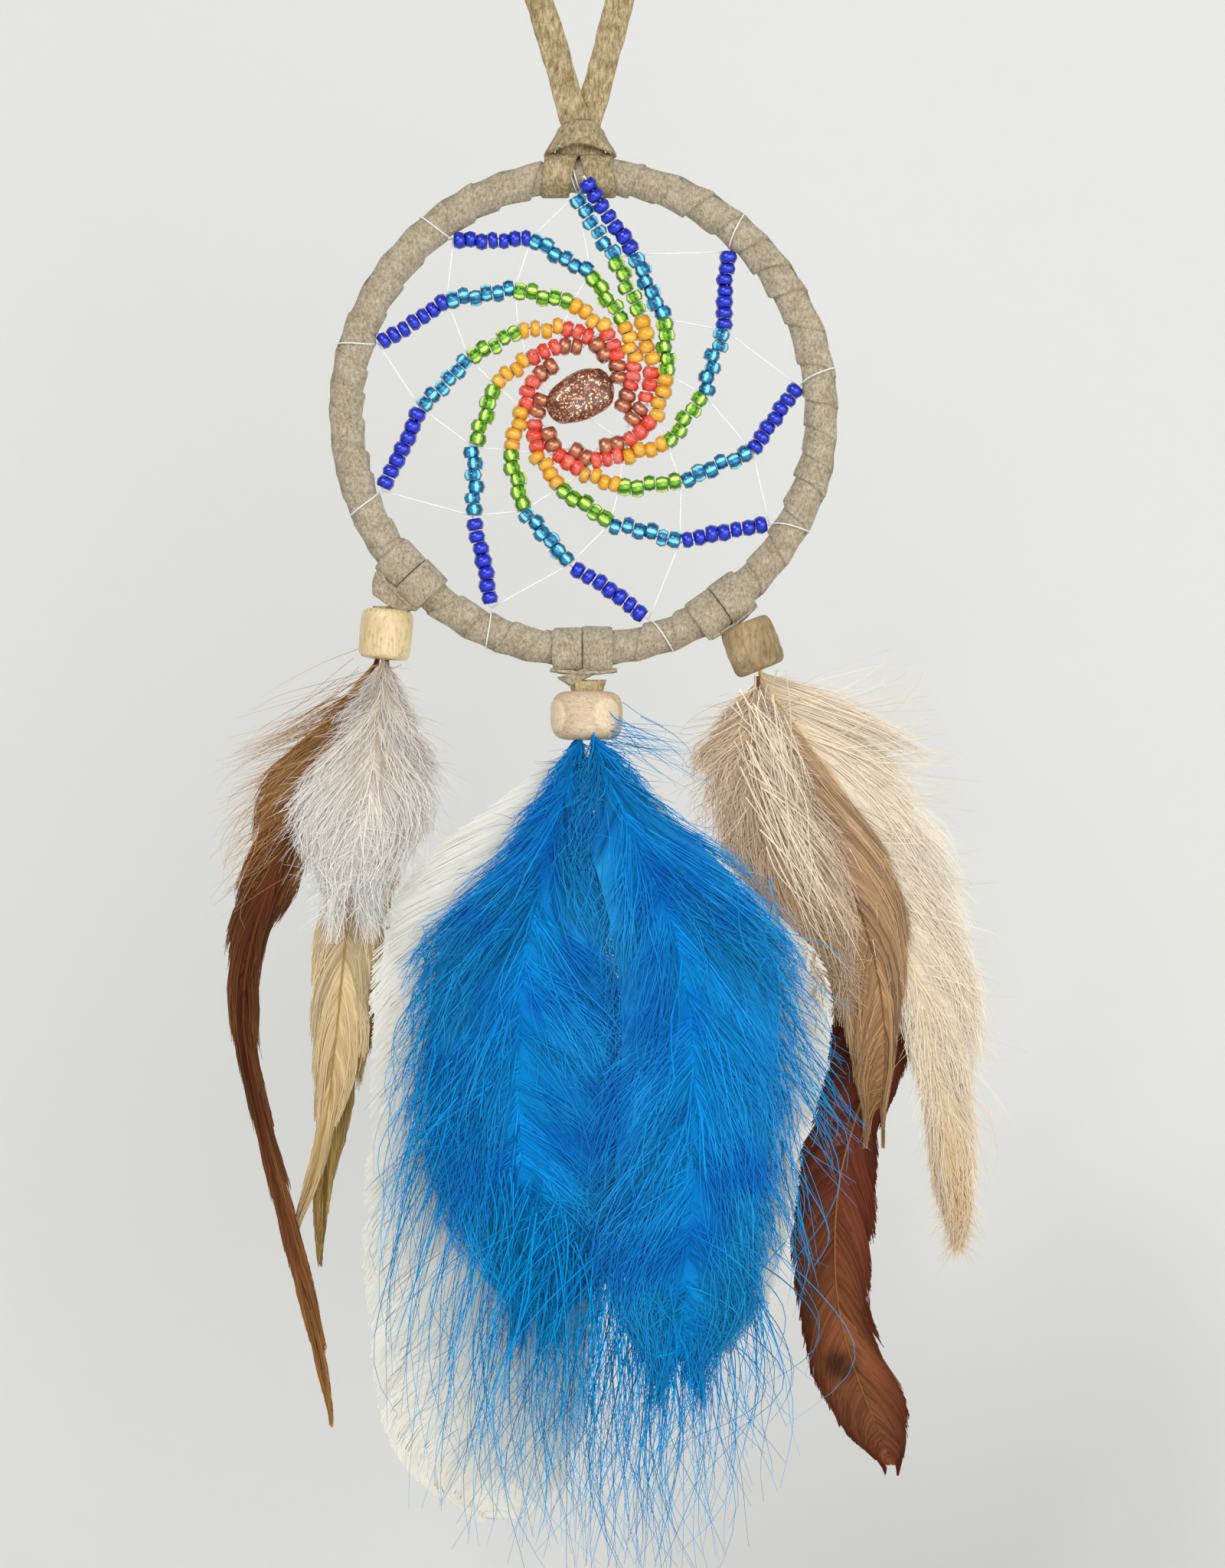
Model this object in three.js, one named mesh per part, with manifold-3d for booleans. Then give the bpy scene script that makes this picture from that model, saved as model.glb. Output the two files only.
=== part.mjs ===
// Dream catcher: a lace-wrapped hoop on a hanging loop, a beaded spiral web, and three feather charms.
// Millimetres, +Z up, front towards -Y. The origin is the top of the hanging loop, where a nail or hook
// holds it. The hoop and everything on it are drawn round the hoop's centre, inside one lowered group.
import * as THREE from 'three';
import { mergeVertices } from 'three/addons/utils/BufferGeometryUtils.js';
import Module from 'manifold-3d';

const wasm = await Module();
wasm.setup();

// ---- Driving dimensions --------------------------------------------------------------------------

const DROP = 104; // from the top of the hanging loop to the hoop's centre
const HOOP_OUTER = 90; // outside diameter of the wrapped hoop
const WRAP_R = 3.05; // radius of the wrapped tube
const CORE_R = 1.5; // radius of the metal ring inside
const RING_R = HOOP_OUTER / 2 - WRAP_R; // radius of the tube's centre line
const WRAP_BORE_R = 1.9; // the wrap's channel, where the metal ring lies
const WRAP_SEAM_DEG = 3; // the wrap starts and ends either side of this gap, under the hanger's knot

const LACE_WIDTH = 5;
const LACE_THICK = 1.2;
const THREAD_R = 0.18;
const GAP = 0.3; // kept between touching pieces

const SEED_R = 1.45; // a seed bead's radius
const SEED_PITCH = 1.95; // from one bead to the next on a full strand
const SEED_HOLE_R = 0.56;
const HOLD_BACK = 1.1; // bare thread left at each end of a strand
const RIM_HOLD_BACK = 1.7; // the same, beside the hoop

// ---- The web ------------------------------------------------------------------------------------
// Each arm winds in from the hoop. Its points are where the thread of one round is hitched to the next:
// [x, z] from the hoop's centre. The second arm starts one round later than the others. A tie is where the
// thread from the arm before joins, if that isn't the first knot.

const ARMS = [
  { hitch: 127, start: 0, knots: [[-23.1, 30.6], [-9.2, 31.0], [1.3, 24.7], [7.4, 16.0], [9.2, 8.9],
    [8.4, 3.9], [6.8, 0.2]] },
  { hitch: 91.2, start: 1, knots: [[-0.9, 36.4], [5.6, 27.4], [10.4, 17.4], [12.3, 8.4],
    [11.3, 1.6], [7.7, -2.4]] },
  { hitch: 91.2, start: 0, tie: [-0.9, 36.4], knots: [[3.6, 36.2], [9.2, 28.0], [14.4, 16.6],
    [15.8, 6.6], [12.8, -1.4], [7.7, -5.7], [2.2, -6.3]] },
  { hitch: 48, start: 0, knots: [[25.7, 28.5], [24.9, 14.6], [21.3, 3.2], [14.9, -5.9], [7.0, -7.8],
    [1.3, -8.9], [-2.6, -6.2]] },
  { hitch: 7, start: 0, knots: [[38.1, 4.7], [29.9, -7.0], [17.2, -12.5], [6.2, -13.5], [-0.6, -10.6],
    [-5.3, -7.4], [-6.8, -2.2]] },
  { hitch: 329, start: 0, knots: [[32.9, -19.8], [17.0, -23.0], [4.6, -19.7], [-4.6, -13.4], [-8.6, -7.0],
    [-9.1, -1.2], [-7.0, 3.9]] },
  { hitch: 287.5, start: 0, knots: [[11.5, -36.6], [-2.6, -26.9], [-10.8, -17.4], [-13.4, -6.6],
    [-11.0, 0.9], [-9.0, 6.5], [-4.7, 9.2]] },
  { hitch: 244.5, start: 0, knots: [[-16.5, -34.6], [-19.7, -18.2], [-19.6, -6.0], [-15.9, 5.2],
    [-10.0, 9.8], [-4.3, 12.4], [-0.2, 11.6]] },
  { hitch: 201, start: 0, knots: [[-35.8, -13.8], [-29.0, 1.0], [-20.4, 9.8], [-11.6, 14.9], [-3.6, 15.4],
    [1.7, 13.5], [4.6, 9.1]] },
  { hitch: 161.5, start: 0, knots: [[-36.4, 12.2], [-24.2, 20.0], [-12.2, 22.0], [-2.0, 19.8], [4.4, 14.9],
    [6.4, 9.3], [6.3, 5.2]] },
];

// One entry for each round of the web, from the hoop inwards. A round that is loose has one node for each
// strand. The crowded inner rounds are one node each, and y keeps their threads off the round they cross.
const ROUNDS = [
  { name: 'blue', beads: 7, colour: 0x1428b4, y: 0, loose: true },
  { name: 'turquoise', beads: 6, colour: 0x1295c8, y: 0, loose: true },
  { name: 'green', beads: 5, colour: 0x8ccc1c, y: 0, loose: true },
  { name: 'yellow', beads: 4, colour: 0xe6ab1e, y: 0.75, loose: false, radius: 1.2 },
  { name: 'red', beads: 3, colour: 0xe0502a, y: 0, loose: false, radius: 1.1 },
  { name: 'copper', beads: 2, colour: 0x9a5a3c, y: 0.75, loose: false, radius: 1.1 },
];
const STONE_THREAD = { from: [6, 5], to: [2, 5] }; // [arm, round] of the knots at its two ends

const STONE = { x: -0.5, z: 2.8, length: 12.9, width: 7.0, depth: 5.6, turn: 27 };

// ---- Lark's heads, tails and wooden beads ----------------------------------------------------------

const HANGER_KNOT = { angle: 90.8, bore: 3.7, bands: [[-4.4, 4.9], [3.3, 5.1]], top: 8.0, half: 3.9 };
const CHARMS = {
  left: { angle: 223.5, bead: { r: 4.65, end: 3.0, height: 8.8, bore: 2.3 }, pivot: [-34.9, -34.0],
    tail: 1.6, drop: 0.9, tilt: 0, wood: 0xe3c98e },
  centre: { angle: 270, bead: { r: 6.3, end: 3.9, height: 8.6, bore: 2.6 }, pivot: [0.6, -47.0],
    tail: 2.8, drop: 2.3, tilt: 0, wood: 0xdcc3a0 },
  right: { angle: 305.5, bead: { r: 4.65, end: 3.0, height: 8.9, bore: 2.3 }, pivot: [27.4, -38.4],
    tail: 1.5, drop: 0.6, tilt: 22, wood: 0xb5986e },
};
const CHARM_BANDS = [[-3.3, 4.7], [3.3, 4.7]]; // [centre along the hoop, width] of the two bands
const CHARM_BORE = 3.5;
const BAND_SIDES = 12;
const TAIL_LEAD = 0.15; // how far below its pivot a charm's lace begins
const CROSS_OUT = 4.8; // a charm knot's crosspiece, from the tube's centre line outwards

// ---- Feathers -----------------------------------------------------------------------------------
// Each is a plate along its quill: spine is [x, z, half width], y the back face and thick the thickness.

const FEATHERS = [
  { name: 'left_brown_hackle', y: 3.6, thick: 1.0, colour: 0x6b3318, spine: [[-36.3, -44.8, 0.8],
    [-40.5, -50, 1.6], [-47.5, -61.5, 3.6], [-53.8, -76, 6.2], [-58, -89.5, 5.2], [-60.4, -103, 3.6],
    [-60.8, -114, 2.2], [-58, -129, 1.6], [-53.5, -146.5, 1.6], [-49.6, -161.5, 1.5], [-45.4, -176.5, 0.5]] },
  { name: 'left_cream_hackle', y: 5.1, thick: 1.0, colour: 0xcfb489, spine: [[-35.7, -44.8, 0.8],
    [-38.2, -60, 2.4], [-40.6, -82, 5.0], [-43.0, -98, 4.4], [-44.6, -114, 3.6], [-46.9, -127, 1.9],
    [-48.2, -137, 1.5], [-47.5, -149.5, 0.5]] },
  { name: 'left_olive_hackle', y: 6.6, thick: 1.0, colour: 0xb0925c, spine: [[-35.2, -44.8, 0.7],
    [-38.4, -62, 2.0], [-41.4, -85, 3.6], [-44.4, -105, 3.6], [-48.2, -125, 2.0], [-51.4, -144, 0.5]] },
  { name: 'left_white_fluff', y: 0.6, thick: 2.0, colour: 0xe4ddd6, spine: [[-35.4, -44.8, 1.2],
    [-36.6, -50, 4.2], [-38.2, -59, 7.6], [-39.0, -67.5, 8.6], [-40.0, -76.5, 5.0]] },
  { name: 'white_feather_left', y: 2.0, thick: 1.0, colour: 0xe9e6da, spine: [[-0.4, -59.2, 0.8],
    [-5.0, -66, 4.0], [-12.5, -80, 11.5], [-17.4, -98, 17.5], [-18.8, -122, 18.3], [-19.4, -146, 18.5],
    [-17.8, -168, 18.0], [-15.6, -184, 14.6], [-14.4, -196.5, 5.0]] },
  { name: 'white_feather_right', y: 0.2, thick: 1.0, colour: 0xefece0, spine: [[1.6, -59.2, 0.8],
    [7.0, -68, 4.0], [13.6, -82, 10.0], [19.6, -98, 15.6], [21.4, -116, 14.6], [21.0, -134, 13.5],
    [18.6, -150, 11.0], [15.8, -163, 4.0]] },
  { name: 'blue_feather_left', y: -1.8, thick: 1.8, colour: 0x0a7fd6, spine: [[-0.4, -59.2, 1.0],
    [-4.6, -66, 4.4], [-9.8, -80, 8.5], [-13.6, -94, 13.2], [-14.4, -110, 15.4], [-12.6, -126, 15.4],
    [-10.0, -142, 11.5], [-8.6, -158, 5.0]] },
  { name: 'blue_feather_right', y: -4.6, thick: 1.8, colour: 0x0b86de, spine: [[1.6, -59.2, 1.0],
    [6.2, -66, 4.6], [12.0, -78, 8.6], [17.0, -92, 13.0], [19.2, -108, 14.6], [19.2, -126, 14.8],
    [18.6, -146, 14.0], [17.0, -162, 10.0], [14.6, -174, 4.0]] },
  { name: 'right_tan_fluff', y: 2.4, thick: 1.8, colour: 0xb08e68, spine: [[30.4, -49.2, 1.0],
    [29.8, -56, 4.8], [32.2, -67, 7.0], [37.4, -80, 6.2], [41.6, -93, 2.6]] },
  { name: 'right_striped_feather', y: 3.9, thick: 1.0, colour: 0xc19a74, spine: [[31.0, -49.2, 0.8],
    [37.6, -62, 4.2], [45.2, -78, 6.2], [50.4, -93, 5.8], [53.0, -108, 2.2]] },
  { name: 'right_mahogany_feather', y: 7.5, thick: 1.0, colour: 0x5e2f1f, spine: [[30.8, -49.2, 0.8],
    [36.4, -64, 4.0], [45.6, -84, 6.2], [51.6, -100, 8.0], [51.8, -112, 7.8], [48.4, -126, 6.6],
    [45.6, -140, 6.6], [45.2, -154, 6.6], [47.6, -168, 7.2], [53.0, -184, 3.6]] },
  { name: 'right_cream_feather', y: 6.0, thick: 1.6, colour: 0xe0cba6, spine: [[31.4, -49.0, 0.9],
    [39.0, -58, 5.8], [49.0, -72, 8.2], [57.0, -90, 8.0], [63.0, -112, 6.0], [66.0, -130, 4.2],
    [67.0, -145, 1.2]] },
];

// ---- Helpers ------------------------------------------------------------------------------------

const rad = THREE.MathUtils.degToRad;
const at = ([x, z], y = 0) => new THREE.Vector3(x, y, z);
const onHoop = (angle, radius) => [radius * Math.cos(rad(angle)), radius * Math.sin(rad(angle))];

function finish(colour, roughness, metalness = 0) {
  return new THREE.MeshStandardMaterial({ color: colour, roughness, metalness });
}

/** A closed geometry as a solid that can be joined or cut. */
function solidOf(geometry) {
  const bare = geometry.clone();
  bare.deleteAttribute('normal');
  bare.deleteAttribute('uv');
  const merged = mergeVertices(bare);
  return new wasm.Manifold(new wasm.Mesh({
    numProp: 3,
    vertProperties: Float32Array.from(merged.attributes.position.array),
    triVerts: Uint32Array.from(merged.index.array),
  }));
}

/** A solid back as a geometry. */
function geometryOf(solid) {
  const mesh = solid.getMesh();
  const geometry = new THREE.BufferGeometry();
  geometry.setAttribute('position', new THREE.BufferAttribute(Float32Array.from(mesh.vertProperties), 3));
  geometry.setIndex(new THREE.BufferAttribute(Uint32Array.from(mesh.triVerts), 1));
  geometry.computeVertexNormals();
  return geometry;
}

/** Several closed geometries joined into one. */
function joined(geometries) {
  return geometryOf(geometries.map(solidOf).reduce((all, one) => all.add(one)));
}

/** A rounded outline with the given number of sides, wide across x and deep across y. */
function ovalShape(halfX, halfY, sides) {
  const points = [];
  for (let n = 0; n < sides; n += 1) {
    const turn = (2 * Math.PI * (n + 0.5)) / sides;
    points.push(new THREE.Vector2(halfX * Math.cos(turn), halfY * Math.sin(turn)));
  }
  return new THREE.Shape(points);
}

/** A solid tube of one section along a curve. */
function tubeAlong(curve, shape, steps) {
  return new THREE.ExtrudeGeometry(shape, { steps, extrudePath: curve, bevelEnabled: false });
}

/** A straight length of web thread, a little longer than its two knots are apart. */
function threadBetween(from, to) {
  const reach = to.clone().sub(from).setLength(THREAD_R / 2);
  const curve = new THREE.LineCurve3(from.clone().sub(reach), to.clone().add(reach));
  return tubeAlong(curve, ovalShape(THREAD_R, THREAD_R, 4), 1);
}

/** Turns a geometry drawn up the Y axis so that it runs from one point towards another. */
function stood(geometry, from, to) {
  const along = to.clone().sub(from).normalize();
  const turn = new THREE.Quaternion().setFromUnitVectors(new THREE.Vector3(0, 1, 0), along);
  return geometry.applyQuaternion(turn).translate(from.x, from.y, from.z);
}

/** Seed beads threaded side by side, as one body of their outer shape. A hole of no size leaves it solid. */
function beadString(from, to, radius, hole) {
  const length = from.distanceTo(to);
  const shoulder = SEED_PITCH / 3;
  const end = radius * 0.74;
  const outline = [[end, 0], [radius, shoulder], [radius, length - shoulder], [end, length]];
  const inner = [[hole, length], [hole, 0]];
  const profile = hole > 0 ? [...outline, ...inner, outline[0]] : [inner[1], ...outline, inner[0]];
  const points = profile.map(([across, up]) => new THREE.Vector2(across, up));
  return stood(new THREE.LatheGeometry(points, 6), from, to);
}

/** The stretch between two knots that beads fill, held back from both of them. */
function beadedStretch(from, to, first, beads) {
  const length = from.distanceTo(to);
  const lead = first ? RIM_HOLD_BACK : HOLD_BACK;
  const free = length - lead - HOLD_BACK;
  const used = Math.min(free, beads * SEED_PITCH);
  const begin = lead + (free - used) / 2;
  return [from.clone().lerp(to, begin / length), from.clone().lerp(to, (begin + used) / length)];
}

/** A plate in the XZ plane along a spine of [x, z, half width], from y back to y minus thick. */
function featherPlate({ spine, y, thick }) {
  const middle = spine.map(([x, z]) => new THREE.Vector3(x, z, 0));
  const line = new THREE.CatmullRomCurve3(middle, false, 'centripetal');
  const sides = [[], []];
  spine.forEach(([x, z, half], n) => {
    const along = line.getTangent(n / (spine.length - 1));
    sides[0].push(new THREE.Vector2(x - along.y * half, z + along.x * half));
    sides[1].unshift(new THREE.Vector2(x + along.y * half, z - along.x * half));
  });
  const plate = new THREE.ExtrudeGeometry(new THREE.Shape([...sides[0], ...sides[1]]), {
    depth: thick,
    bevelEnabled: false,
  });
  return plate.rotateX(Math.PI / 2).translate(0, y, 0);
}

/** A knotted band's ring round the tube: drawn round the local X axis, with its width along X. */
function bandRing(centre, width, bore) {
  const toCorner = 1 / Math.cos(Math.PI / BAND_SIDES);
  const [outer, inner] = [bore + LACE_THICK, bore].map((flat) => flat * toCorner);
  const ring = ovalShape(outer, outer, BAND_SIDES);
  ring.holes.push(ovalShape(inner, inner, BAND_SIDES));
  const tube = new THREE.ExtrudeGeometry(ring, { depth: width, bevelEnabled: false });
  const lean = centre / RING_R;
  tube.translate(0, 0, -width / 2).rotateY(Math.PI / 2).rotateY(lean);
  return tube.translate(RING_R * Math.sin(lean), 0, RING_R * (Math.cos(lean) - 1));
}

/** A lark's head tied over the tube: two bands and the crosspiece outside them. Local +Z points outwards. */
function larksHead(bands, bore, cross) {
  const half = cross.half;
  const base = bore + LACE_THICK / 3;
  const bar = new THREE.BoxGeometry(2 * half, cross.depth, cross.top - base);
  bar.translate(cross.shift, 0, (cross.top + base) / 2);
  return joined([...bands.map(([centre, width]) => bandRing(centre, width, bore)), bar]);
}

/** A wooden bead drawn down the local -Z axis from its top face, with a bore through it. */
function woodBead({ r, end, height, bore }) {
  const profile = [
    [bore, 0],
    [end, 0],
    [r * 0.93, height * 0.16],
    [r, height * 0.38],
    [r, height * 0.62],
    [r * 0.93, height * 0.84],
    [end, height],
    [bore, height],
    [bore, 0],
  ].map(([radius, up]) => new THREE.Vector2(radius, up));
  return new THREE.LatheGeometry(profile, 14).rotateX(Math.PI / 2).translate(0, 0, -height);
}

// ---- Building -----------------------------------------------------------------------------------

const dreamCatcher = new THREE.Group();
const hoop = new THREE.Group();
hoop.position.z = -DROP;
dreamCatcher.add(hoop);

/** Puts a named piece into a group and gives it back. */
function add(group, name, geometry, material) {
  const mesh = new THREE.Mesh(geometry, material);
  mesh.name = name;
  group.add(mesh);
  return mesh;
}

function addHoop() {
  const core = new THREE.TorusGeometry(RING_R, CORE_R, 6, 44).rotateX(Math.PI / 2);
  add(hoop, 'hoop_core', core, finish(0xb9bcc0, 0.35, 1));
  const shape = ovalShape(WRAP_R, WRAP_R, 10);
  shape.holes.push(ovalShape(WRAP_BORE_R, WRAP_BORE_R, 6));
  const circle = new (class extends THREE.Curve {
    getPoint(t, target = new THREE.Vector3()) {
      const angle = rad(90 + WRAP_SEAM_DEG / 2 + (360 - WRAP_SEAM_DEG) * t);
      return target.set(RING_R * Math.cos(angle), 0, RING_R * Math.sin(angle));
    }
  })();
  add(hoop, 'hoop_wrap', tubeAlong(circle, shape, 44), finish(0xb7a384, 0.95));
}

/** The hanging loop's line, in the dream catcher's own frame: up the left strap, over, down the right. */
const LOOP_LINE = [
  [-1.5, -0.85, -52.9], [-3.1, -0.8, -47.2], [-5.4, -0.6, -39.0], [-7.9, -0.5, -31.0], [-10.3, -0.3, -22.5],
  [-11.6, -0.2, -14.5], [-10.4, -0.1, -7.0], [-6.2, 0, -2.2], [-0.8, 0, -0.6], [4.6, 0, -2.2],
  [8.9, 0.1, -7.0], [10.1, 0.2, -14.5], [8.9, 0.3, -22.5], [6.4, 0.5, -31.0], [4.3, 0.6, -39.0],
  [2.1, 0.8, -47.2], [0.5, 0.85, -52.9],
];

function addHanger() {
  const suede = finish(0xb09a74, 0.95);
  const line = new THREE.CatmullRomCurve3(LOOP_LINE.map((p) => new THREE.Vector3(...p)));
  const section = ovalShape(LACE_THICK / 2, LACE_WIDTH / 2, 8);
  add(dreamCatcher, 'hanger_lace', tubeAlong(line, section, 44), suede);
  const { angle, bore, bands, top, half } = HANGER_KNOT;
  const knot = larksHead(bands, bore, { half, top, depth: 3.4, shift: -0.2 });
  const mesh = add(hoop, 'hanger_knot', knot, suede);
  placeOnHoop(mesh, angle);
}

/** Moves a piece drawn round the tube's centre, local +Z outwards, to an angle on the hoop. */
function placeOnHoop(mesh, angle) {
  const [x, z] = onHoop(angle, RING_R);
  mesh.position.set(x, 0, z);
  mesh.rotation.y = rad(90 - angle);
}

/** The bare thread and the beaded thread of one round, as pairs of points. */
function threadsOf(round) {
  const spans = [];
  ARMS.forEach((arm, n) => {
    const knot = (a, r) => at(a.knots[r - a.start], ROUNDS[Math.min(round, 5)].y);
    if (round < arm.start) {
      return;
    }
    spans.push([knot(arm, round), knot(arm, round + 1)]);
    const others = [...ARMS.slice(n + 1), ...ARMS.slice(0, n)];
    const next = others.find((other) => other.start <= round);
    const end = round === 0 && next.tie ? at(next.tie) : knot(next, next.start > 0 ? round + 1 : round);
    spans.push([knot(arm, round + 1), end]);
  });
  return spans;
}

/** The loop of thread that each hitch makes round the wrapped tube. */
function hitchLoop(angle) {
  const loop = new THREE.TorusGeometry(WRAP_R + GAP + 2 * THREAD_R, THREAD_R, 4, 12);
  loop.rotateY(Math.PI / 2).rotateY(rad(90 - angle));
  const [x, z] = onHoop(angle, RING_R);
  return loop.translate(x, 0, z);
}

function addWeb() {
  const white = finish(0xf2f2ee, 0.5);
  const outer = [0, 1, 2].flatMap((round) => threadsOf(round).map(([a, b]) => threadBetween(a, b)));
  const hitches = ARMS.filter((arm) => arm.tie || arm.start === 0).flatMap((arm) => {
    const inside = onHoop(arm.hitch, RING_R - WRAP_R - GAP - 2 * THREAD_R);
    const link = threadBetween(at(inside), at(arm.tie ?? arm.knots[0]));
    const tied = arm.tie ? [threadBetween(at(arm.tie), at(arm.knots[0]))] : [];
    return [hitchLoop(arm.hitch), link, ...tied];
  });
  add(hoop, 'web_thread', joined([...outer, ...hitches]), white);

  ROUNDS.forEach(({ name, beads, colour, y, loose, radius }, round) => {
    const glass = finish(colour, name === 'copper' ? 0.35 : 0.12, name === 'copper' ? 0.8 : 0);
    const strands = ARMS.filter((arm) => arm.start <= round).map((arm) => {
      const ends = [round, round + 1].map((r) => at(arm.knots[r - arm.start], y));
      const stretch = beadedStretch(...ends, arm.start === round, beads);
      return beadString(...stretch, radius ?? SEED_R, loose ? SEED_HOLE_R : 0);
    });
    if (loose) {
      strands.forEach((strand, n) => add(hoop, `${name}_strand_${n + 1}`, strand, glass.clone()));
      return;
    }
    const threads = threadsOf(round).map(([a, b]) => threadBetween(a, b));
    if (name === 'copper') {
      threads.push(threadBetween(...stoneThreadEnds()));
    }
    add(hoop, `${name}_round`, joined([...strands, ...threads]), glass);
  });
}

/** The two knots that the thread through the stone is tied to. */
function stoneThreadEnds() {
  const y = ROUNDS[5].y;
  return [STONE_THREAD.from, STONE_THREAD.to].map(([arm, round]) => at(ARMS[arm].knots[round], y));
}

function addStone() {
  const { x, z, length, width, depth, turn } = STONE;
  const chip = new THREE.SphereGeometry(1, 14, 9).scale(length / 2, depth / 2, width / 2);
  chip.rotateY(rad(-turn)).translate(x, ROUNDS[5].y, z);
  const [from, to] = stoneThreadEnds();
  const drill = tubeAlong(new THREE.LineCurve3(from, to), ovalShape(SEED_HOLE_R, SEED_HOLE_R, 8), 1);
  add(hoop, 'goldstone_chip', geometryOf(solidOf(chip).subtract(solidOf(drill))), finish(0x6e3a22, 0.25));
}

function addCharms() {
  Object.entries(CHARMS).forEach(([side, { angle, bead, pivot, tail, drop, tilt, wood }]) => {
    const suede = finish(0xb09a74, 0.95);
    const cross = { half: 2.6, top: CROSS_OUT, depth: 1.6, shift: 0 };
    placeOnHoop(add(hoop, `${side}_knot`, larksHead(CHARM_BANDS, CHARM_BORE, cross), suede), angle);
    const hung = new THREE.Group();
    hung.position.set(pivot[0], 0, pivot[1]);
    hung.rotation.y = rad(-tilt);
    hoop.add(hung);
    const strip = new THREE.BoxGeometry(3, LACE_THICK, tail - TAIL_LEAD);
    strip.translate(0, 0, -(tail + TAIL_LEAD) / 2);
    add(hung, `${side}_tail`, strip, finish(0xc7b58f, 0.95));
    add(hung, `${side}_bead`, woodBead(bead).translate(0, 0, -drop), finish(wood, 0.55));
  });
}

function addFeathers() {
  FEATHERS.forEach((feather) => add(hoop, feather.name, featherPlate(feather), finish(feather.colour, 0.9)));
}

addHoop();
addHanger();
addWeb();
addStone();
addCharms();
addFeathers();

export default dreamCatcher;
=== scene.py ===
"""A dream catcher: a suede-wrapped hoop on a hanging lace, a beaded spiral web and three feather charms.

Shapes are drawn in millimetres from the hoop's centre, and become metres in the row's frame as they are built.
"""
import logging
import math
from dataclasses import dataclass
from enum import Enum

import bpy
import numpy as np
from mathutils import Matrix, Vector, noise


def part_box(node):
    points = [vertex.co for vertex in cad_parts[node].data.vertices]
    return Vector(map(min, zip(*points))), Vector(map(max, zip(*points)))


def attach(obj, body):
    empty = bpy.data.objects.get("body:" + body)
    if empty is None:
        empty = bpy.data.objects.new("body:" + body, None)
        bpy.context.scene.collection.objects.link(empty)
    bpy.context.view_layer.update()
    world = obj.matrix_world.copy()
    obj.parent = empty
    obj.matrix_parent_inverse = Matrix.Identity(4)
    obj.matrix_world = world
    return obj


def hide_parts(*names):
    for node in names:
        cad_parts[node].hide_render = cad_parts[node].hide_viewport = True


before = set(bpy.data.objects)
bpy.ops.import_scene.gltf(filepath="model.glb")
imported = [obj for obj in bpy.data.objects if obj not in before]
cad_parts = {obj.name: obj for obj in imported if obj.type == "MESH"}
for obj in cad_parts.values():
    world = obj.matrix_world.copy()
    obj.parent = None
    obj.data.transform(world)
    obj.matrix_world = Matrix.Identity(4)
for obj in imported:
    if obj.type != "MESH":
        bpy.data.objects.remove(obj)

LOG = logging.getLogger("dream_catcher")
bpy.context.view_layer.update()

DROP = 104.0  # from the top of the hanging loop to the hoop's centre
RING_R = 41.95  # the hoop tube's centre line
WRAP_R = 3.05  # the wrapped tube
LACE_WIDE = 5.0
LACE_THICK = 1.2
BAND_HALF = 0.5  # half the thickness of a turn of lace that is pulled tight
BAND_SIDES = 14  # the points round a band
BAND_SQUARE = 5.0  # how square a band's corners are
SEED_PITCH = 1.95  # a seed bead's length along its thread
NOISE_SEED = 3  # noise_vector draws its offsets from this
CURVE_STEPS = 24  # how finely a smooth curve is followed between two of its points
RIGHT = np.array((1.0, 0.0, 0.0))
BACK = np.array((0.0, 1.0, 0.0))

Points = np.ndarray
Rows = tuple[tuple[float, ...], ...]


def shade(code: str) -> tuple[float, float, float, float]:
    """Turns a display colour such as "b7a384" into the linear colour that a shader takes.

    Args:
        code: Six hexadecimal digits.

    Returns:
        Red, green, blue and an alpha of 1.
    """
    parts = [int(code[n:n + 2], 16) / 255 for n in (0, 2, 4)]
    linear = [p / 12.92 if p <= 0.04045 else ((p + 0.055) / 1.055) ** 2.4 for p in parts]
    return (*linear, 1.0)


def on_row(points: Points) -> Points:
    """Moves points from millimetres round the hoop's centre to metres in the row's frame.

    Args:
        points: An array of x, y and z.

    Returns:
        The same points in metres.
    """
    return (np.asarray(points, float) + (0.0, 0.0, -DROP)) / 1000


def on_hoop(angle: float, radius: float) -> tuple[float, float]:
    """Gives the x and z of a place on the hoop.

    Args:
        angle: Degrees round from +X.
        radius: Distance from the hoop's centre.

    Returns:
        The x and z.
    """
    return radius * math.cos(math.radians(angle)), radius * math.sin(math.radians(angle))


def unit(vectors: Points) -> Points:
    """Gives each vector a length of one.

    Args:
        vectors: An array whose last axis holds x, y and z.

    Returns:
        The array, scaled.
    """
    return vectors / np.maximum(np.linalg.norm(vectors, axis=-1, keepdims=True), 1e-9)


def smooth_path(points: Points, steps: int) -> Points:
    """Runs a smooth curve through a few points.

    Args:
        points: The points that it passes through.
        steps: How many points to give back.

    Returns:
        Points spread evenly along the curve.
    """
    given = np.asarray(points, float)
    ends = np.vstack([2 * given[0] - given[1], given, 2 * given[-1] - given[-2]])
    fine = []
    for n in range(len(given) - 1):
        a, b, c, d = ends[n:n + 4]
        t = np.linspace(0, 1, CURVE_STEPS, endpoint=False)[:, None]
        fine.append(0.5 * (2 * b + (c - a) * t + (2 * a - 5 * b + 4 * c - d) * t ** 2
                           + (3 * b - a - 3 * c + d) * t ** 3))
    fine.append(given[-1:])
    line = np.vstack(fine)
    run = np.concatenate([[0], np.cumsum(np.linalg.norm(np.diff(line, axis=0), axis=1))])
    at = np.linspace(0, run[-1], steps)
    return np.stack([np.interp(at, run, line[:, k]) for k in range(line.shape[1])], axis=1)


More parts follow.
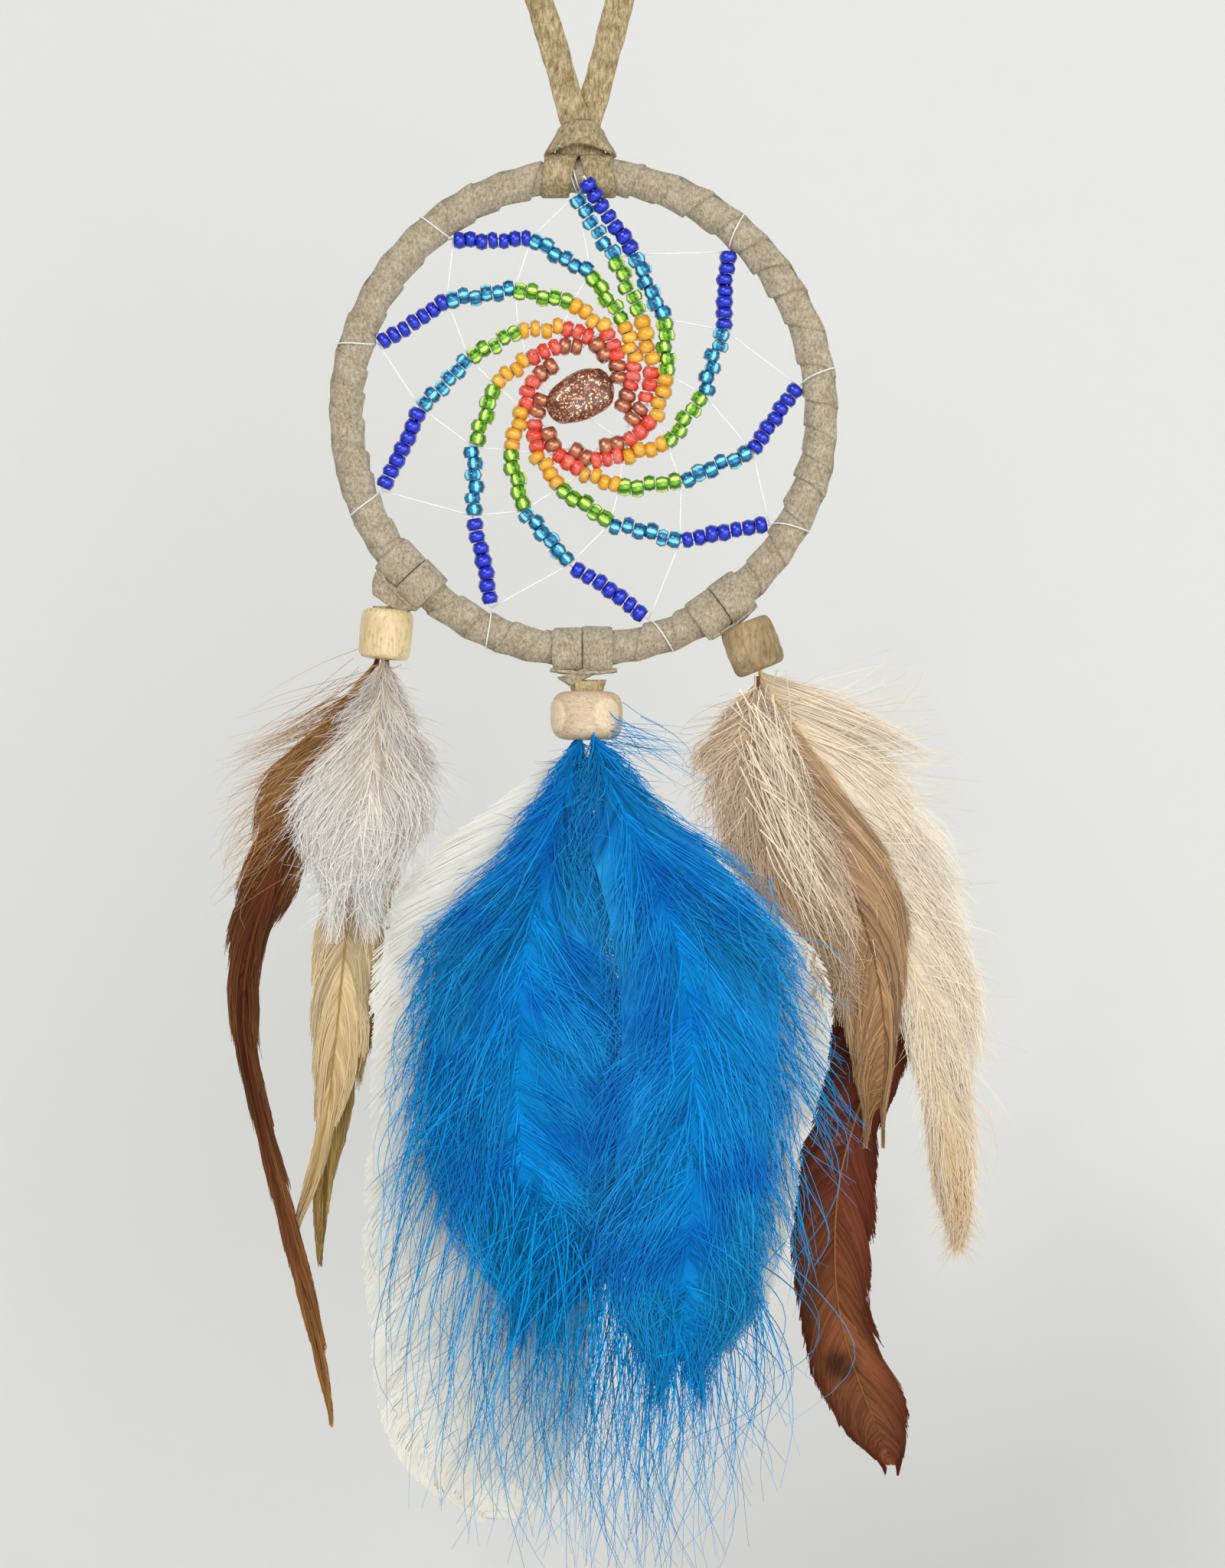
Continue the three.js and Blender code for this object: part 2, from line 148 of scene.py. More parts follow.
def leaned(points: Points, angle: float) -> Points:
    """Turns points in the plane of the hoop.

    Args:
        points: The points, round their own middle.
        angle: Degrees, from +X towards +Z.

    Returns:
        The turned points.
    """
    c, s = math.cos(math.radians(angle)), math.sin(math.radians(angle))
    x, y, z = points.T
    return np.stack([x * c - z * s, y, x * s + z * c], axis=1)


def placed(name: str, data: object) -> bpy.types.Object:
    """Makes an object and puts it into the scene.

    Args:
        name: The object's name.
        data: Its mesh, light or camera.

    Returns:
        The object.
    """
    made = bpy.data.objects.new(name, data)
    bpy.context.scene.collection.objects.link(made)
    return made


def read_back(work: bpy.types.Object, corners: int) -> tuple[Points, Points]:
    """Takes the points and faces of a modelled mesh, and removes the object.

    Args:
        work: The object.
        corners: How many corners the faces that are kept have.

    Returns:
        Its points and its faces.
    """
    points = np.array([v.co for v in work.data.vertices])
    faces = np.array([list(p.vertices) for p in work.data.polygons if len(p.vertices) == corners])
    bpy.data.objects.remove(work)
    return points, faces


class Shell:
    """Closed surfaces gathered into one mesh, with a value for each point under each mark."""

    def __init__(self) -> None:
        """Starts with nothing in it."""
        self.points: list[Points] = []
        self.faces: list[Points] = []
        self.marks: dict[str, list[Points]] = {}
        self.count = 0

    def add(self, points: Points, faces: list[Points], **marks: Points) -> None:
        """Adds a surface.

        Args:
            points: Its points in millimetres round the hoop's centre.
            faces: Arrays of corner numbers, each array of faces with as many corners as it is wide.
            marks: A value for each point, or one for all of them, under each name.
        """
        flat = np.asarray(points, float).reshape(-1, 3)
        self.points.append(flat)
        self.faces.extend(np.asarray(f, int) + self.count for f in faces)
        for name, value in marks.items():
            filled = np.broadcast_to(np.asarray(value, float).reshape(-1), (len(flat),))
            self.marks.setdefault(name, []).append(filled)
        self.count += len(flat)

    def tube(self, path: Points, across: Points, half_wide: Points, half_thick: Points, sides: int,
             square: float = 2.0, rough: tuple[float, ...] = (), **marks: Points) -> None:
        """Adds a closed tube round a path: a strap, a thread or a shaft.

        Args:
            path: The middle of each ring.
            across: The direction of the ring's width, at each point or one for all.
            half_wide: Half the width at each point, or one for all.
            half_thick: Half the thickness at each point, or one for all.
            sides: How many points each ring has.
            square: 2 for an oval, and more for squarer corners.
            rough: The depth, size and seed of its uneven skin, where it has one.
            marks: A value for each point, or one for all of them, under each name.
        """
        rings = rings_along(path, across, half_wide, half_thick, sides, square)
        if rough:
            rings = roughened(rings, *rough)
        self.add(rings, capped(*rings.shape[:2]), **marks)

    def build(self, name: str, smooth: bool = True) -> bpy.types.Object:
        """Makes the mesh and its object.

        Args:
            name: The object's name.
            smooth: Whether the faces are smooth shaded.

        Returns:
            The object, at the origin, with its place in its mesh.
        """
        mesh = bpy.data.meshes.new(name)
        co = on_row(np.vstack(self.points))
        mesh.vertices.add(len(co))
        mesh.vertices.foreach_set("co", co.astype(np.float32).ravel())
        totals = np.concatenate([np.full(len(f), f.shape[1]) for f in self.faces])
        corners = np.concatenate([f.ravel() for f in self.faces])
        mesh.loops.add(len(corners))
        mesh.loops.foreach_set("vertex_index", corners.astype(np.int32))
        mesh.polygons.add(len(totals))
        starts = np.concatenate([[0], np.cumsum(totals)[:-1]])
        mesh.polygons.foreach_set("loop_start", starts.astype(np.int32))
        mesh.update(calc_edges=True)
        mesh.polygons.foreach_set("use_smooth", np.full(len(totals), smooth))
        for mark, values in self.marks.items():
            layer = mesh.attributes.new(mark, "FLOAT", "POINT")
            layer.data.foreach_set("value", np.concatenate(values).astype(np.float32))
        mesh.validate()
        return placed(name, mesh)


def grid_faces(rows: int, columns: int) -> Points:
    """Joins rings of points into four-cornered faces.

    Args:
        rows: How many rings there are.
        columns: How many points each ring has, going round.

    Returns:
        The corner numbers of each face.
    """
    r = np.arange(rows - 1)[:, None]
    c = np.arange(columns)[None, :]
    after, along = r + 1, (c + 1) % columns
    quads = [r * columns + c, r * columns + along, after * columns + along, after * columns + c]
    return np.stack(np.broadcast_arrays(*quads), axis=-1).reshape(-1, 4)


def capped(rows: int, columns: int) -> list[Points]:
    """The faces of a tube with both ends closed.

    Args:
        rows: How many rings it has.
        columns: How many points each ring has.

    Returns:
        The sides' faces, then the two ends.
    """
    ring = np.arange(columns)
    return [grid_faces(rows, columns), ring[::-1][None, :], (ring + (rows - 1) * columns)[None, :]]


def rings_along(path: Points, across: Points, half_wide: Points, half_thick: Points, sides: int,
                square: float) -> Points:
    """Draws flat or round rings along a path.

    Args:
        path: The middle of each ring.
        across: The direction of the ring's width, at each point or one for all.
        half_wide: Half the width at each point, or one for all.
        half_thick: Half the thickness at each point, or one for all.
        sides: How many points each ring has.
        square: 2 for an oval, and more for squarer corners.

    Returns:
        An array of rings of points, whose faces look outwards.
    """
    tangent = unit(np.gradient(path, axis=0))
    wide = unit(across - tangent * np.sum(across * tangent, axis=1, keepdims=True))
    thick = np.cross(tangent, wide)
    turn = 2 * np.pi * (np.arange(sides) + 0.5) / sides
    c, s = np.cos(turn), np.sin(turn)
    c, s = np.sign(c) * np.abs(c) ** (2 / square), np.sign(s) * np.abs(s) ** (2 / square)
    half_wide = np.broadcast_to(half_wide, (len(path),))
    half_thick = np.broadcast_to(half_thick, (len(path),))
    return (path[:, None, :] + wide[:, None, :] * (c[None, :] * half_wide[:, None])[..., None]
            + thick[:, None, :] * (s[None, :] * half_thick[:, None])[..., None])


def roughened(points: Points, depth: float, size: float, seed: float) -> Points:
    """Moves points a little, by smooth noise, as hide and wood are never true.

    Args:
        points: An array of points.
        depth: The most that a point moves, in millimetres.
        size: The size of the noise's lumps, in millimetres.
        seed: Shifts the noise, so that pieces differ.

    Returns:
        The moved points.
    """
    flat = points.reshape(-1, 3)
    moved = [noise.noise_vector((p[0] / size + seed, p[1] / size, p[2] / size - seed)) for p in flat]
    return points + depth * np.array(moved).reshape(points.shape)


# ---- Finishes -----------------------------------------------------------------------------------


class Painter:
    """A material's nodes, added by name and joined."""

    def __init__(self, name: str) -> None:
        """Starts a material with one Principled shader.

        Args:
            name: The material's name.
        """
        self.material = bpy.data.materials.new(f"{name}_finish")
        self.material.use_nodes = True
        self.tree = self.material.node_tree
        self.shader = self.tree.nodes["Principled BSDF"]
        self.where = self.node("ShaderNodeTexCoord")

    def node(self, kind: str, **settings: object) -> bpy.types.Node:
        """Adds a node.

        Args:
            kind: The node's type.
            settings: Its own properties.

        Returns:
            The node.
        """
        made = self.tree.nodes.new(kind)
        for key, value in settings.items():
            setattr(made, key, value)
        return made

    def join(self, source: bpy.types.NodeSocket, target: bpy.types.NodeSocket) -> None:
        """Links one socket to another."""
        self.tree.links.new(source, target)

    def set(self, **values: object) -> None:
        """Sets the shader's own sockets.

        Args:
            values: Each socket's name, with underscores for spaces, and its value.
        """
        for key, value in values.items():
            self.shader.inputs[key.replace("_", " ")].default_value = value

    def mark(self, name: str) -> bpy.types.NodeSocket:
        """Reads a mark that the mesh carries.

        Args:
            name: The attribute's name.

        Returns:
            Its value.
        """
        return self.node("ShaderNodeAttribute", attribute_name=name).outputs["Fac"]

    def noise(self, scale: float, detail: float = 3.0, rough: float = 0.6,
              stretch: tuple[float, float, float] = (1, 1, 1)) -> bpy.types.NodeSocket:
        """Adds noise on the object's own coordinates.

        Args:
            scale: How many lumps there are to a metre.
            detail: How much finer noise is laid over it.
            rough: How strong the finer noise is.
            stretch: How much closer the lumps lie along each axis.

        Returns:
            The noise, from 0 to 1.
        """
        mapping = self.node("ShaderNodeMapping")
        mapping.inputs["Scale"].default_value = stretch
        self.join(self.where.outputs["Object"], mapping.inputs["Vector"])
        made = self.node("ShaderNodeTexNoise")
        for key, value in (("Scale", scale), ("Detail", detail), ("Roughness", rough)):
            made.inputs[key].default_value = value
        self.join(mapping.outputs["Vector"], made.inputs["Vector"])
        return made.outputs["Fac"]

    def ramp(self, value: bpy.types.NodeSocket, *stops: tuple[float, str]) -> bpy.types.NodeSocket:
        """Turns a value into a colour.

        Args:
            value: The value, from 0 to 1.
            stops: Each place and its display colour.

        Returns:
            The colour.
        """
        made = self.node("ShaderNodeValToRGB")
        elements = made.color_ramp.elements
        while len(elements) < len(stops):
            elements.new(0.5)
        for element, (place, code) in zip(elements, stops):
            element.position = place
            element.color = shade(code)
        self.join(value, made.inputs["Fac"])
        return made.outputs["Color"]

    def math(self, kind: str, first: bpy.types.NodeSocket,
             second: object = 0.0) -> bpy.types.NodeSocket:
        """Adds a sum.

        Args:
            kind: The operation.
            first: The first value.
            second: The second value, a number or a socket.

        Returns:
            The result.
        """
        made = self.node("ShaderNodeMath", operation=kind)
        self.join(first, made.inputs[0])
        if isinstance(second, bpy.types.NodeSocket):
            self.join(second, made.inputs[1])
        else:
            made.inputs[1].default_value = second
        return made.outputs[0]

    def blend(self, first: bpy.types.NodeSocket, share: float, second: bpy.types.NodeSocket,
              rest: float) -> bpy.types.NodeSocket:
        """Adds two values up, each by its share.

        Args:
            first: The first value.
            share: How much it counts.
            second: The second value.
            rest: How much that one counts.

        Returns:
            The sum.
        """
        return self.math("ADD", self.math("MULTIPLY", first, share), self.math("MULTIPLY", second, rest))

    def mix(self, share: object, first: object, second: object,
            kind: str = "MIX") -> bpy.types.NodeSocket:
        """Mixes two colours.

        Args:
            share: How much of the second there is, a number or a socket.
            first: The first colour, a display colour or a socket.
            second: The second colour.
            kind: How they are mixed.

        Returns:
            The mixed colour.
        """
        made = self.node("ShaderNodeMix", data_type="RGBA", blend_type=kind)
        for slot, value in ((0, share), (6, first), (7, second)):
            if isinstance(value, bpy.types.NodeSocket):
                self.join(value, made.inputs[slot])
            else:
                made.inputs[slot].default_value = shade(value) if isinstance(value, str) else value
        return made.outputs[2]

    def bump(self, height: bpy.types.NodeSocket, depth: float, strength: float = 0.6) -> None:
        """Raises the surface by a value.

        Args:
            height: The value.
            depth: How high it stands, in metres.
            strength: How much of it shows.
        """
        made = self.node("ShaderNodeBump")
        made.inputs["Strength"].default_value = strength
        made.inputs["Distance"].default_value = depth
        self.join(height, made.inputs["Height"])
        before = self.shader.inputs["Normal"]
        if before.is_linked:
            self.join(before.links[0].from_socket, made.inputs["Normal"])
        self.join(made.outputs["Normal"], before)

    def colour(self, value: bpy.types.NodeSocket) -> None:
        """Gives the shader its colour."""
        self.join(value, self.shader.inputs["Base Color"])


@dataclass(frozen=True)
class Suede:
    """Soft split hide: mottled, with short fibres and darker pits."""

    name: str
    dark: str
    middle: str
    light: str
    fibre: tuple[float, float, float] = (1, 1, 1)

    def material(self) -> bpy.types.Material:
        """Returns the material."""
        paint = Painter(self.name)
        mottle = paint.noise(300, 4, 0.6)
        fine = paint.noise(2000, 5, 0.75, self.fibre)
        pits = paint.noise(2600, 2, 0.6, self.fibre)
        base = paint.ramp(paint.blend(mottle, 0.25, fine, 0.75),
                          (0.40, self.dark), (0.50, self.middle), (0.60, self.light))
        speck = paint.ramp(pits, (0.28, "6e5b42"), (0.38, "ffffff"))
        paint.colour(paint.mix(0.6, base, speck, "MULTIPLY"))
        paint.set(Roughness=0.95, Sheen_Weight=0.12, Sheen_Roughness=0.5, Specular_IOR_Level=0.12)
        paint.bump(fine, 0.0006, 1.0)
        paint.bump(pits, 0.0003, 0.6)
        return paint.material


@dataclass(frozen=True)
class Steel:
    """The plain metal ring inside the wrapping."""

    name: str = "ring_metal"

    def material(self) -> bpy.types.Material:
        """Returns the material."""
        paint = Painter(self.name)
        drawn = paint.noise(1400, 3, 0.6, (1, 6, 1))
        paint.colour(paint.ramp(drawn, (0.3, "9fa2a6"), (0.7, "c6c9cc")))
        paint.join(paint.math("MULTIPLY_ADD", drawn, 0.2), paint.shader.inputs["Roughness"])
        paint.set(Metallic=1.0)
        return paint.material


@dataclass(frozen=True)
class Nylon:
    """Fine twisted white thread."""

    name: str = "web_thread"

    def material(self) -> bpy.types.Material:
        """Returns the material."""
        paint = Painter(self.name)
        twist = paint.noise(3800, 2, 0.5)
        paint.colour(paint.ramp(twist, (0.3, "e9eaee"), (0.7, "ffffff")))
        paint.set(Roughness=0.35, Coat_Weight=0.2, Sheen_Weight=0.1)
        paint.bump(twist, 0.00005, 0.5)
        return paint.material


class Lining(Enum):
    """What a glass bead's hole is lined with."""

    CLEAR = "clear"
    SILVER = "silver"
    RAINBOW = "rainbow"


@dataclass(frozen=True)
class Glass:
    """A seed bead's coloured glass, over its lining, with painted highlights and painted shade."""

    name: str
    body: str
    # darker glass, also the colour of the painted shade at the rims and in the lining
    deep: str
    # the colour of the painted glints, glow and sheen
    painted_highlight: str
    lining: Lining

    def material(self) -> bpy.types.Material:
        """Returns the material."""
        paint = Painter(self.name)
        tint = paint.mark("tint")
        # Painted shade: the body darkens towards the deep colour at each bead's rim.
        rim = paint.node("ShaderNodeLayerWeight")
        rim.inputs["Blend"].default_value = 0.55
        body = paint.mix(rim.outputs["Facing"], self.body, self.deep)
        uv = paint.node("ShaderNodeSeparateXYZ")
        paint.join(paint.where.outputs["UV"], uv.inputs[0])
        if self.lining is Lining.SILVER:
            # Painted reflection of the square silver lining: a bright glint and a painted shadow on each of its
            # four faces, in a band round the bead's outer middle.
            turn = paint.math("FRACT", paint.math("ADD", paint.math("MULTIPLY", uv.outputs["X"], 4.0), tint))
            painted_glint = paint.ramp(turn, (0.10, "000000"), (0.15, "ffffff"), (0.36, "ffffff"), (0.41, "000000"))
            shadow = paint.ramp(turn, (0.52, "000000"), (0.58, "e0e0e0"), (0.74, "e0e0e0"), (0.80, "000000"))
            edge = paint.math("ABSOLUTE", uv.outputs["Y"])
            inside = paint.math("LESS_THAN", edge, 0.14)
            body = paint.mix(inside, body, paint.mix(painted_glint, paint.mix(shadow, body, self.deep), self.painted_highlight))
        elif self.lining is Lining.RAINBOW:
            # Painted sheen of the rainbow coat in noise patches of the highlight colour; then each bead is
            # darkened a random amount towards the deep colour.
            sheen = paint.noise(700, 2, 0.5)
            body = paint.mix(paint.ramp(sheen, (0.42, "000000"), (0.68, "b8b8b8")), body, self.painted_highlight)
            body = paint.mix(paint.math("MULTIPLY", tint, 0.3), body, self.deep)
        else:
            # Painted glow: light through the clear glass, drawn as a bright band round the bead's outer middle.
            edge = paint.math("ABSOLUTE", uv.outputs["Y"])
            painted_glow = paint.ramp(edge, (0.03, "8c8c8c"), (0.13, "000000"))
            body = paint.mix(painted_glow, body, self.painted_highlight)
        paint.colour(body)
        paint.set(Roughness=0.14, Coat_Weight=0.5, Coat_Roughness=0.03, IOR=1.5)
        paint.bump(paint.noise(500, 1, 0.4), 0.0001, 0.25)
        return paint.material


@dataclass(frozen=True)
class Copper:
    """The matt metallic coat of the innermost beads."""

    name: str = "copper_beads"

    def material(self) -> bpy.types.Material:
        """Returns the material."""
        paint = Painter(self.name)
        cloud = paint.noise(900, 3, 0.6)
        paint.colour(paint.ramp(cloud, (0.3, "b4694c"), (0.7, "dc9878")))
        paint.join(paint.ramp(cloud, (0.3, "8c8c8c"), (0.7, "a8a8a8")), paint.shader.inputs["Roughness"])
        paint.set(Metallic=0.85, Coat_Weight=0.3, Coat_Roughness=0.2)
        return paint.material


@dataclass(frozen=True)
class Goldstone:
    """Brown glass full of bright copper flakes."""

    name: str = "goldstone_chip"

    def material(self) -> bpy.types.Material:
        """Returns the material."""
        paint = Painter(self.name)
        flakes = paint.node("ShaderNodeTexVoronoi")
        flakes.inputs["Scale"].default_value = 3600
        paint.join(paint.where.outputs["Object"], flakes.inputs["Vector"])
        pick = paint.node("ShaderNodeSeparateColor")
        paint.join(flakes.outputs["Color"], pick.inputs[0])
        lit = paint.ramp(pick.outputs[0], (0.70, "000000"), (0.82, "ffffff"))
        cloud = paint.ramp(paint.noise(260, 4, 0.6), (0.3, "3c150c"), (0.7, "7c3c26"))
        paint.colour(paint.mix(lit, cloud, paint.ramp(pick.outputs[1], (0.0, "c8714c"), (1.0, "ffd9a8"))))
        paint.join(paint.math("MULTIPLY", lit, 0.85), paint.shader.inputs["Metallic"])
        paint.set(Roughness=0.35, Coat_Weight=0.5, Coat_Roughness=0.1)
        return paint.material


@dataclass(frozen=True)
class Wood:
    """Turned wood with grain along the bead, and how polished it is."""

    name: str
    dark: str
    light: str
    polish: float
    grain: tuple[float, float, float]
    depth: float
    plug: str = ""

    def material(self) -> bpy.types.Material:
        """Returns the material."""
        paint = Painter(self.name)
        grain = paint.noise(900, 5, 0.65, self.grain)
        pores = paint.noise(2400, 3, 0.7, self.grain)
        cloud = paint.noise(160, 3, 0.5)
        base = paint.ramp(paint.blend(grain, 0.6, cloud, 0.4), (0.34, self.dark), (0.66, self.light))
        base = paint.mix(0.5, base, paint.ramp(pores, (0.3, "8a7350"), (0.5, "ffffff")), "MULTIPLY")
        if self.plug:
            ends = paint.noise(2200, 3, 0.6)
            end_grain = paint.ramp(ends, (0.3, self.plug), (0.7, "f0dfc4"))
            base = paint.mix(paint.mark("plug"), base, end_grain)
        paint.colour(base)
        paint.set(Roughness=0.75 - 0.45 * self.polish, Coat_Weight=0.5 * self.polish, Coat_Roughness=0.2)
        paint.bump(pores, self.depth, 0.7)
        return paint.material


@dataclass(frozen=True)
class Barbs:
    """A feather's colours, from its quill to its tip and from its shaft to its edges, with painted shade in
    patches where it has a cloud colour.
    """

    name: str
    down_it: tuple[tuple[float, str], ...]
    edge: str
    edge_share: float
    shaft: str
    varies: float = 0.35
    soft: float = 0.3
    spot: tuple[float, float, float, float] = (0, 0, 0, 0)
    # colour of the painted shade patches, where there are any
    cloud: str = ""

    def material(self) -> bpy.types.Material:
        """Returns the material."""
        paint = Painter(self.name)
        base = paint.ramp(paint.mark("down"), *self.down_it)
        reach = paint.math("POWER", paint.mark("reach"), 1.6)
        base = paint.mix(paint.math("MULTIPLY", reach, self.edge_share), base, self.edge)
        lanes = paint.node("ShaderNodeTexNoise", noise_dimensions="1D")
        paint.join(paint.mark("lane"), lanes.inputs["W"])
        lanes.inputs["Scale"].default_value = 1.7
        lanes.inputs["Detail"].default_value = 4.0
        tint = paint.blend(paint.mark("tint"), 0.7, lanes.outputs["Fac"], 0.3)
        low = f"{int(255 * (1 - self.varies)):02x}" * 3
        base = paint.mix(1.0, base, paint.ramp(tint, (0.2, low), (0.8, "ffffff")), "MULTIPLY")
        # Painted shade: noise patches darken the feather towards the cloud colour, as in the shaded hollows of
        # a fluffy mass.
        if self.cloud:
            painted_shade_patches = paint.ramp(paint.noise(62, 4, 0.6), (0.44, "000000"), (0.62, "c4c4c4"))
            base = paint.mix(painted_shade_patches, base, self.cloud)
        if self.spot[3] > 0:
            apart = paint.node("ShaderNodeVectorMath", operation="DISTANCE")
            paint.join(paint.where.outputs["Object"], apart.inputs[0])
            apart.inputs[1].default_value = [float(v) for v in on_row(np.array(self.spot[:3]))]
            near = paint.math("MULTIPLY", apart.outputs["Value"], 500 / self.spot[3])
            wobble = paint.math("ADD", near, paint.math("MULTIPLY", paint.noise(260, 3, 0.6), 0.5))
            base = paint.mix(paint.ramp(wobble, (0.5, "e6e6e6"), (0.95, "000000")), base, "170f0c")
        paint.colour(paint.mix(paint.mark("shaft"), base, self.shaft))
        paint.set(Roughness=0.75, Sheen_Weight=self.soft, Sheen_Roughness=0.4, Specular_IOR_Level=0.08)
        return paint.material


LACE = Suede("lace_suede", dark="8f7c55", middle="bca77e", light="e0cca4", fibre=(1, 1, 0.3))
WRAPPING = Suede("hoop_suede", dark="aa9a7d", middle="c8b99d", light="e2d5bd", fibre=(1, 0.5, 0.7))
PALE_LACE = Suede("pale_lace_end", dark="cdb67c", middle="e2cf98", light="efdfb4")
PALE_WOOD = Wood("pale_wood", dark="d9bd85", light="efdbae", polish=0.8, grain=(1, 1, 0.2), depth=0.00005)
RAW_WOOD = Wood(
    "raw_wood", dark="cbb08f", light="e4cfb2", polish=0.1, grain=(0.5, 1, 1.6), depth=0.0001, plug="dcc29c")
ROUGH_WOOD = Wood("rough_wood", dark="7d6643", light="c8ae85", polish=0.0, grain=(1, 1, 0.3), depth=0.0006)


def deselected() -> None:
    """Leaves nothing selected, since an operator acts on all that is."""
    for other in bpy.context.selected_objects:
        other.select_set(False)


def dressed(piece: bpy.types.Object, body: str, slot: str, finish: object,
            *nodes: str) -> bpy.types.Object:
    """Gives a piece its finish, its body and the frame nodes that it stands for.

    Args:
        piece: The piece, in place.
        body: The body that it rides on.
        slot: The record's material slot; not used.
        finish: The finish, with a method that gives its material.
        nodes: The nodes that it replaces.

    Returns:
        The piece.
    """
    material = bpy.data.materials.get(f"{finish.name}_finish") or finish.material()
    piece.data.materials.clear()
    piece.data.materials.append(material)
    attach(piece, body)
    if nodes:
        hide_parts(*nodes)
    LOG.info("%s: %d faces on %s", piece.name, len(piece.data.polygons), body)
    return piece


# ---- The setting --------------------------------------------------------------------------------


@dataclass
class Setting:
    """The camera, the pale sweep behind and below, and the lights."""

    look_at: tuple[float, float] = (5.1, -65.7)
    distance: float = 500.0
    tall: float = 277.5
    sensor: float = 36.0
    wall: float = 230.0
    floor: float = -262.0
    bend: float = 180.0
    reach: float = 2600.0
    half_across: float = 3000.0
    lamps: tuple[tuple[str, tuple[float, ...], tuple[float, ...], float, float], ...] = (
        ("key", (-0.5, -0.75, 0.4), (58, 0, -34), 0.6, 3.2),
        ("front", (0.25, -1.1, -0.15), (88, 0, 13), 0.8, 5.6),
        ("glint", (-0.22, -0.62, 0.22), (66, 0, -20), 0.07, 0.5),
        ("fill", (0.75, -0.65, -0.1), (85, 0, 49), 0.9, 3.6))
    room_tone: tuple[float, ...] = (0.93, 0.94, 0.95, 1)
    room_light: float = 0.34

    def camera(self) -> None:
        """Stands the camera square in front."""
        data = bpy.data.cameras.new("camera")
        data.sensor_width = self.sensor
        data.lens = self.sensor * self.distance / self.tall
        camera = placed("camera", data)
        camera.location = on_row((self.look_at[0], -self.distance, self.look_at[1])).tolist()
        camera.rotation_euler = (math.pi / 2, 0, 0)
        bpy.context.scene.camera = camera

    def sweep(self) -> None:
        """Makes the floor that curves up into a wall, seen only from its front."""
        bend, turns = self.bend, np.linspace(0, math.pi / 2, 13)
        side = [(-self.reach, self.floor)]
        side += [(self.wall - bend * (1 - math.sin(t)), self.floor + bend * (1 - math.cos(t))) for t in turns]
        side += [(self.wall, self.reach)]
        rows = np.array([[(x, y, z) for x in (-self.half_across, self.half_across)] for y, z in side])
        shell = Shell()
        n = np.arange(len(side) - 1)
        shell.add(rows, [np.stack([2 * n, 2 * n + 1, 2 * n + 3, 2 * n + 2], axis=1)])
        sweep = shell.build("sweep")
        paint = Painter("sweep")
        paint.colour(paint.ramp(paint.noise(1.6, 2, 0.5), (0.3, "e3e3e0"), (0.7, "ebebe8")))
        paint.set(Roughness=0.9)
        behind = paint.node("ShaderNodeNewGeometry")
        clear = paint.node("ShaderNodeBsdfTransparent")
        both = paint.node("ShaderNodeMixShader")
        sides = (behind.outputs["Backfacing"], paint.shader.outputs[0], clear.outputs[0])
        for source, target in zip(sides, both.inputs):
            paint.join(source, target)
        paint.join(both.outputs[0], paint.tree.nodes["Material Output"].inputs["Surface"])
        sweep.data.materials.append(paint.material)

    def lights(self) -> None:
        """Hangs three soft lights and a small one for the glints, and fills the room with pale light."""
        for name, place, turned, size, power in self.lamps:
            data = bpy.data.lights.new(name, "AREA")
            data.size, data.energy = size, power
            light = placed(name, data)
            light.location = place
            light.rotation_euler = [math.radians(v) for v in turned]
        world = bpy.data.worlds.new("room")
        world.use_nodes = True
        room = world.node_tree.nodes["Background"]
        room.inputs["Color"].default_value = self.room_tone
        room.inputs["Strength"].default_value = self.room_light
        bpy.context.scene.world = world
        bpy.context.scene.view_settings.view_transform = "Standard"


# ---- Hanger, hoop and knots ---------------------------------------------------------------------


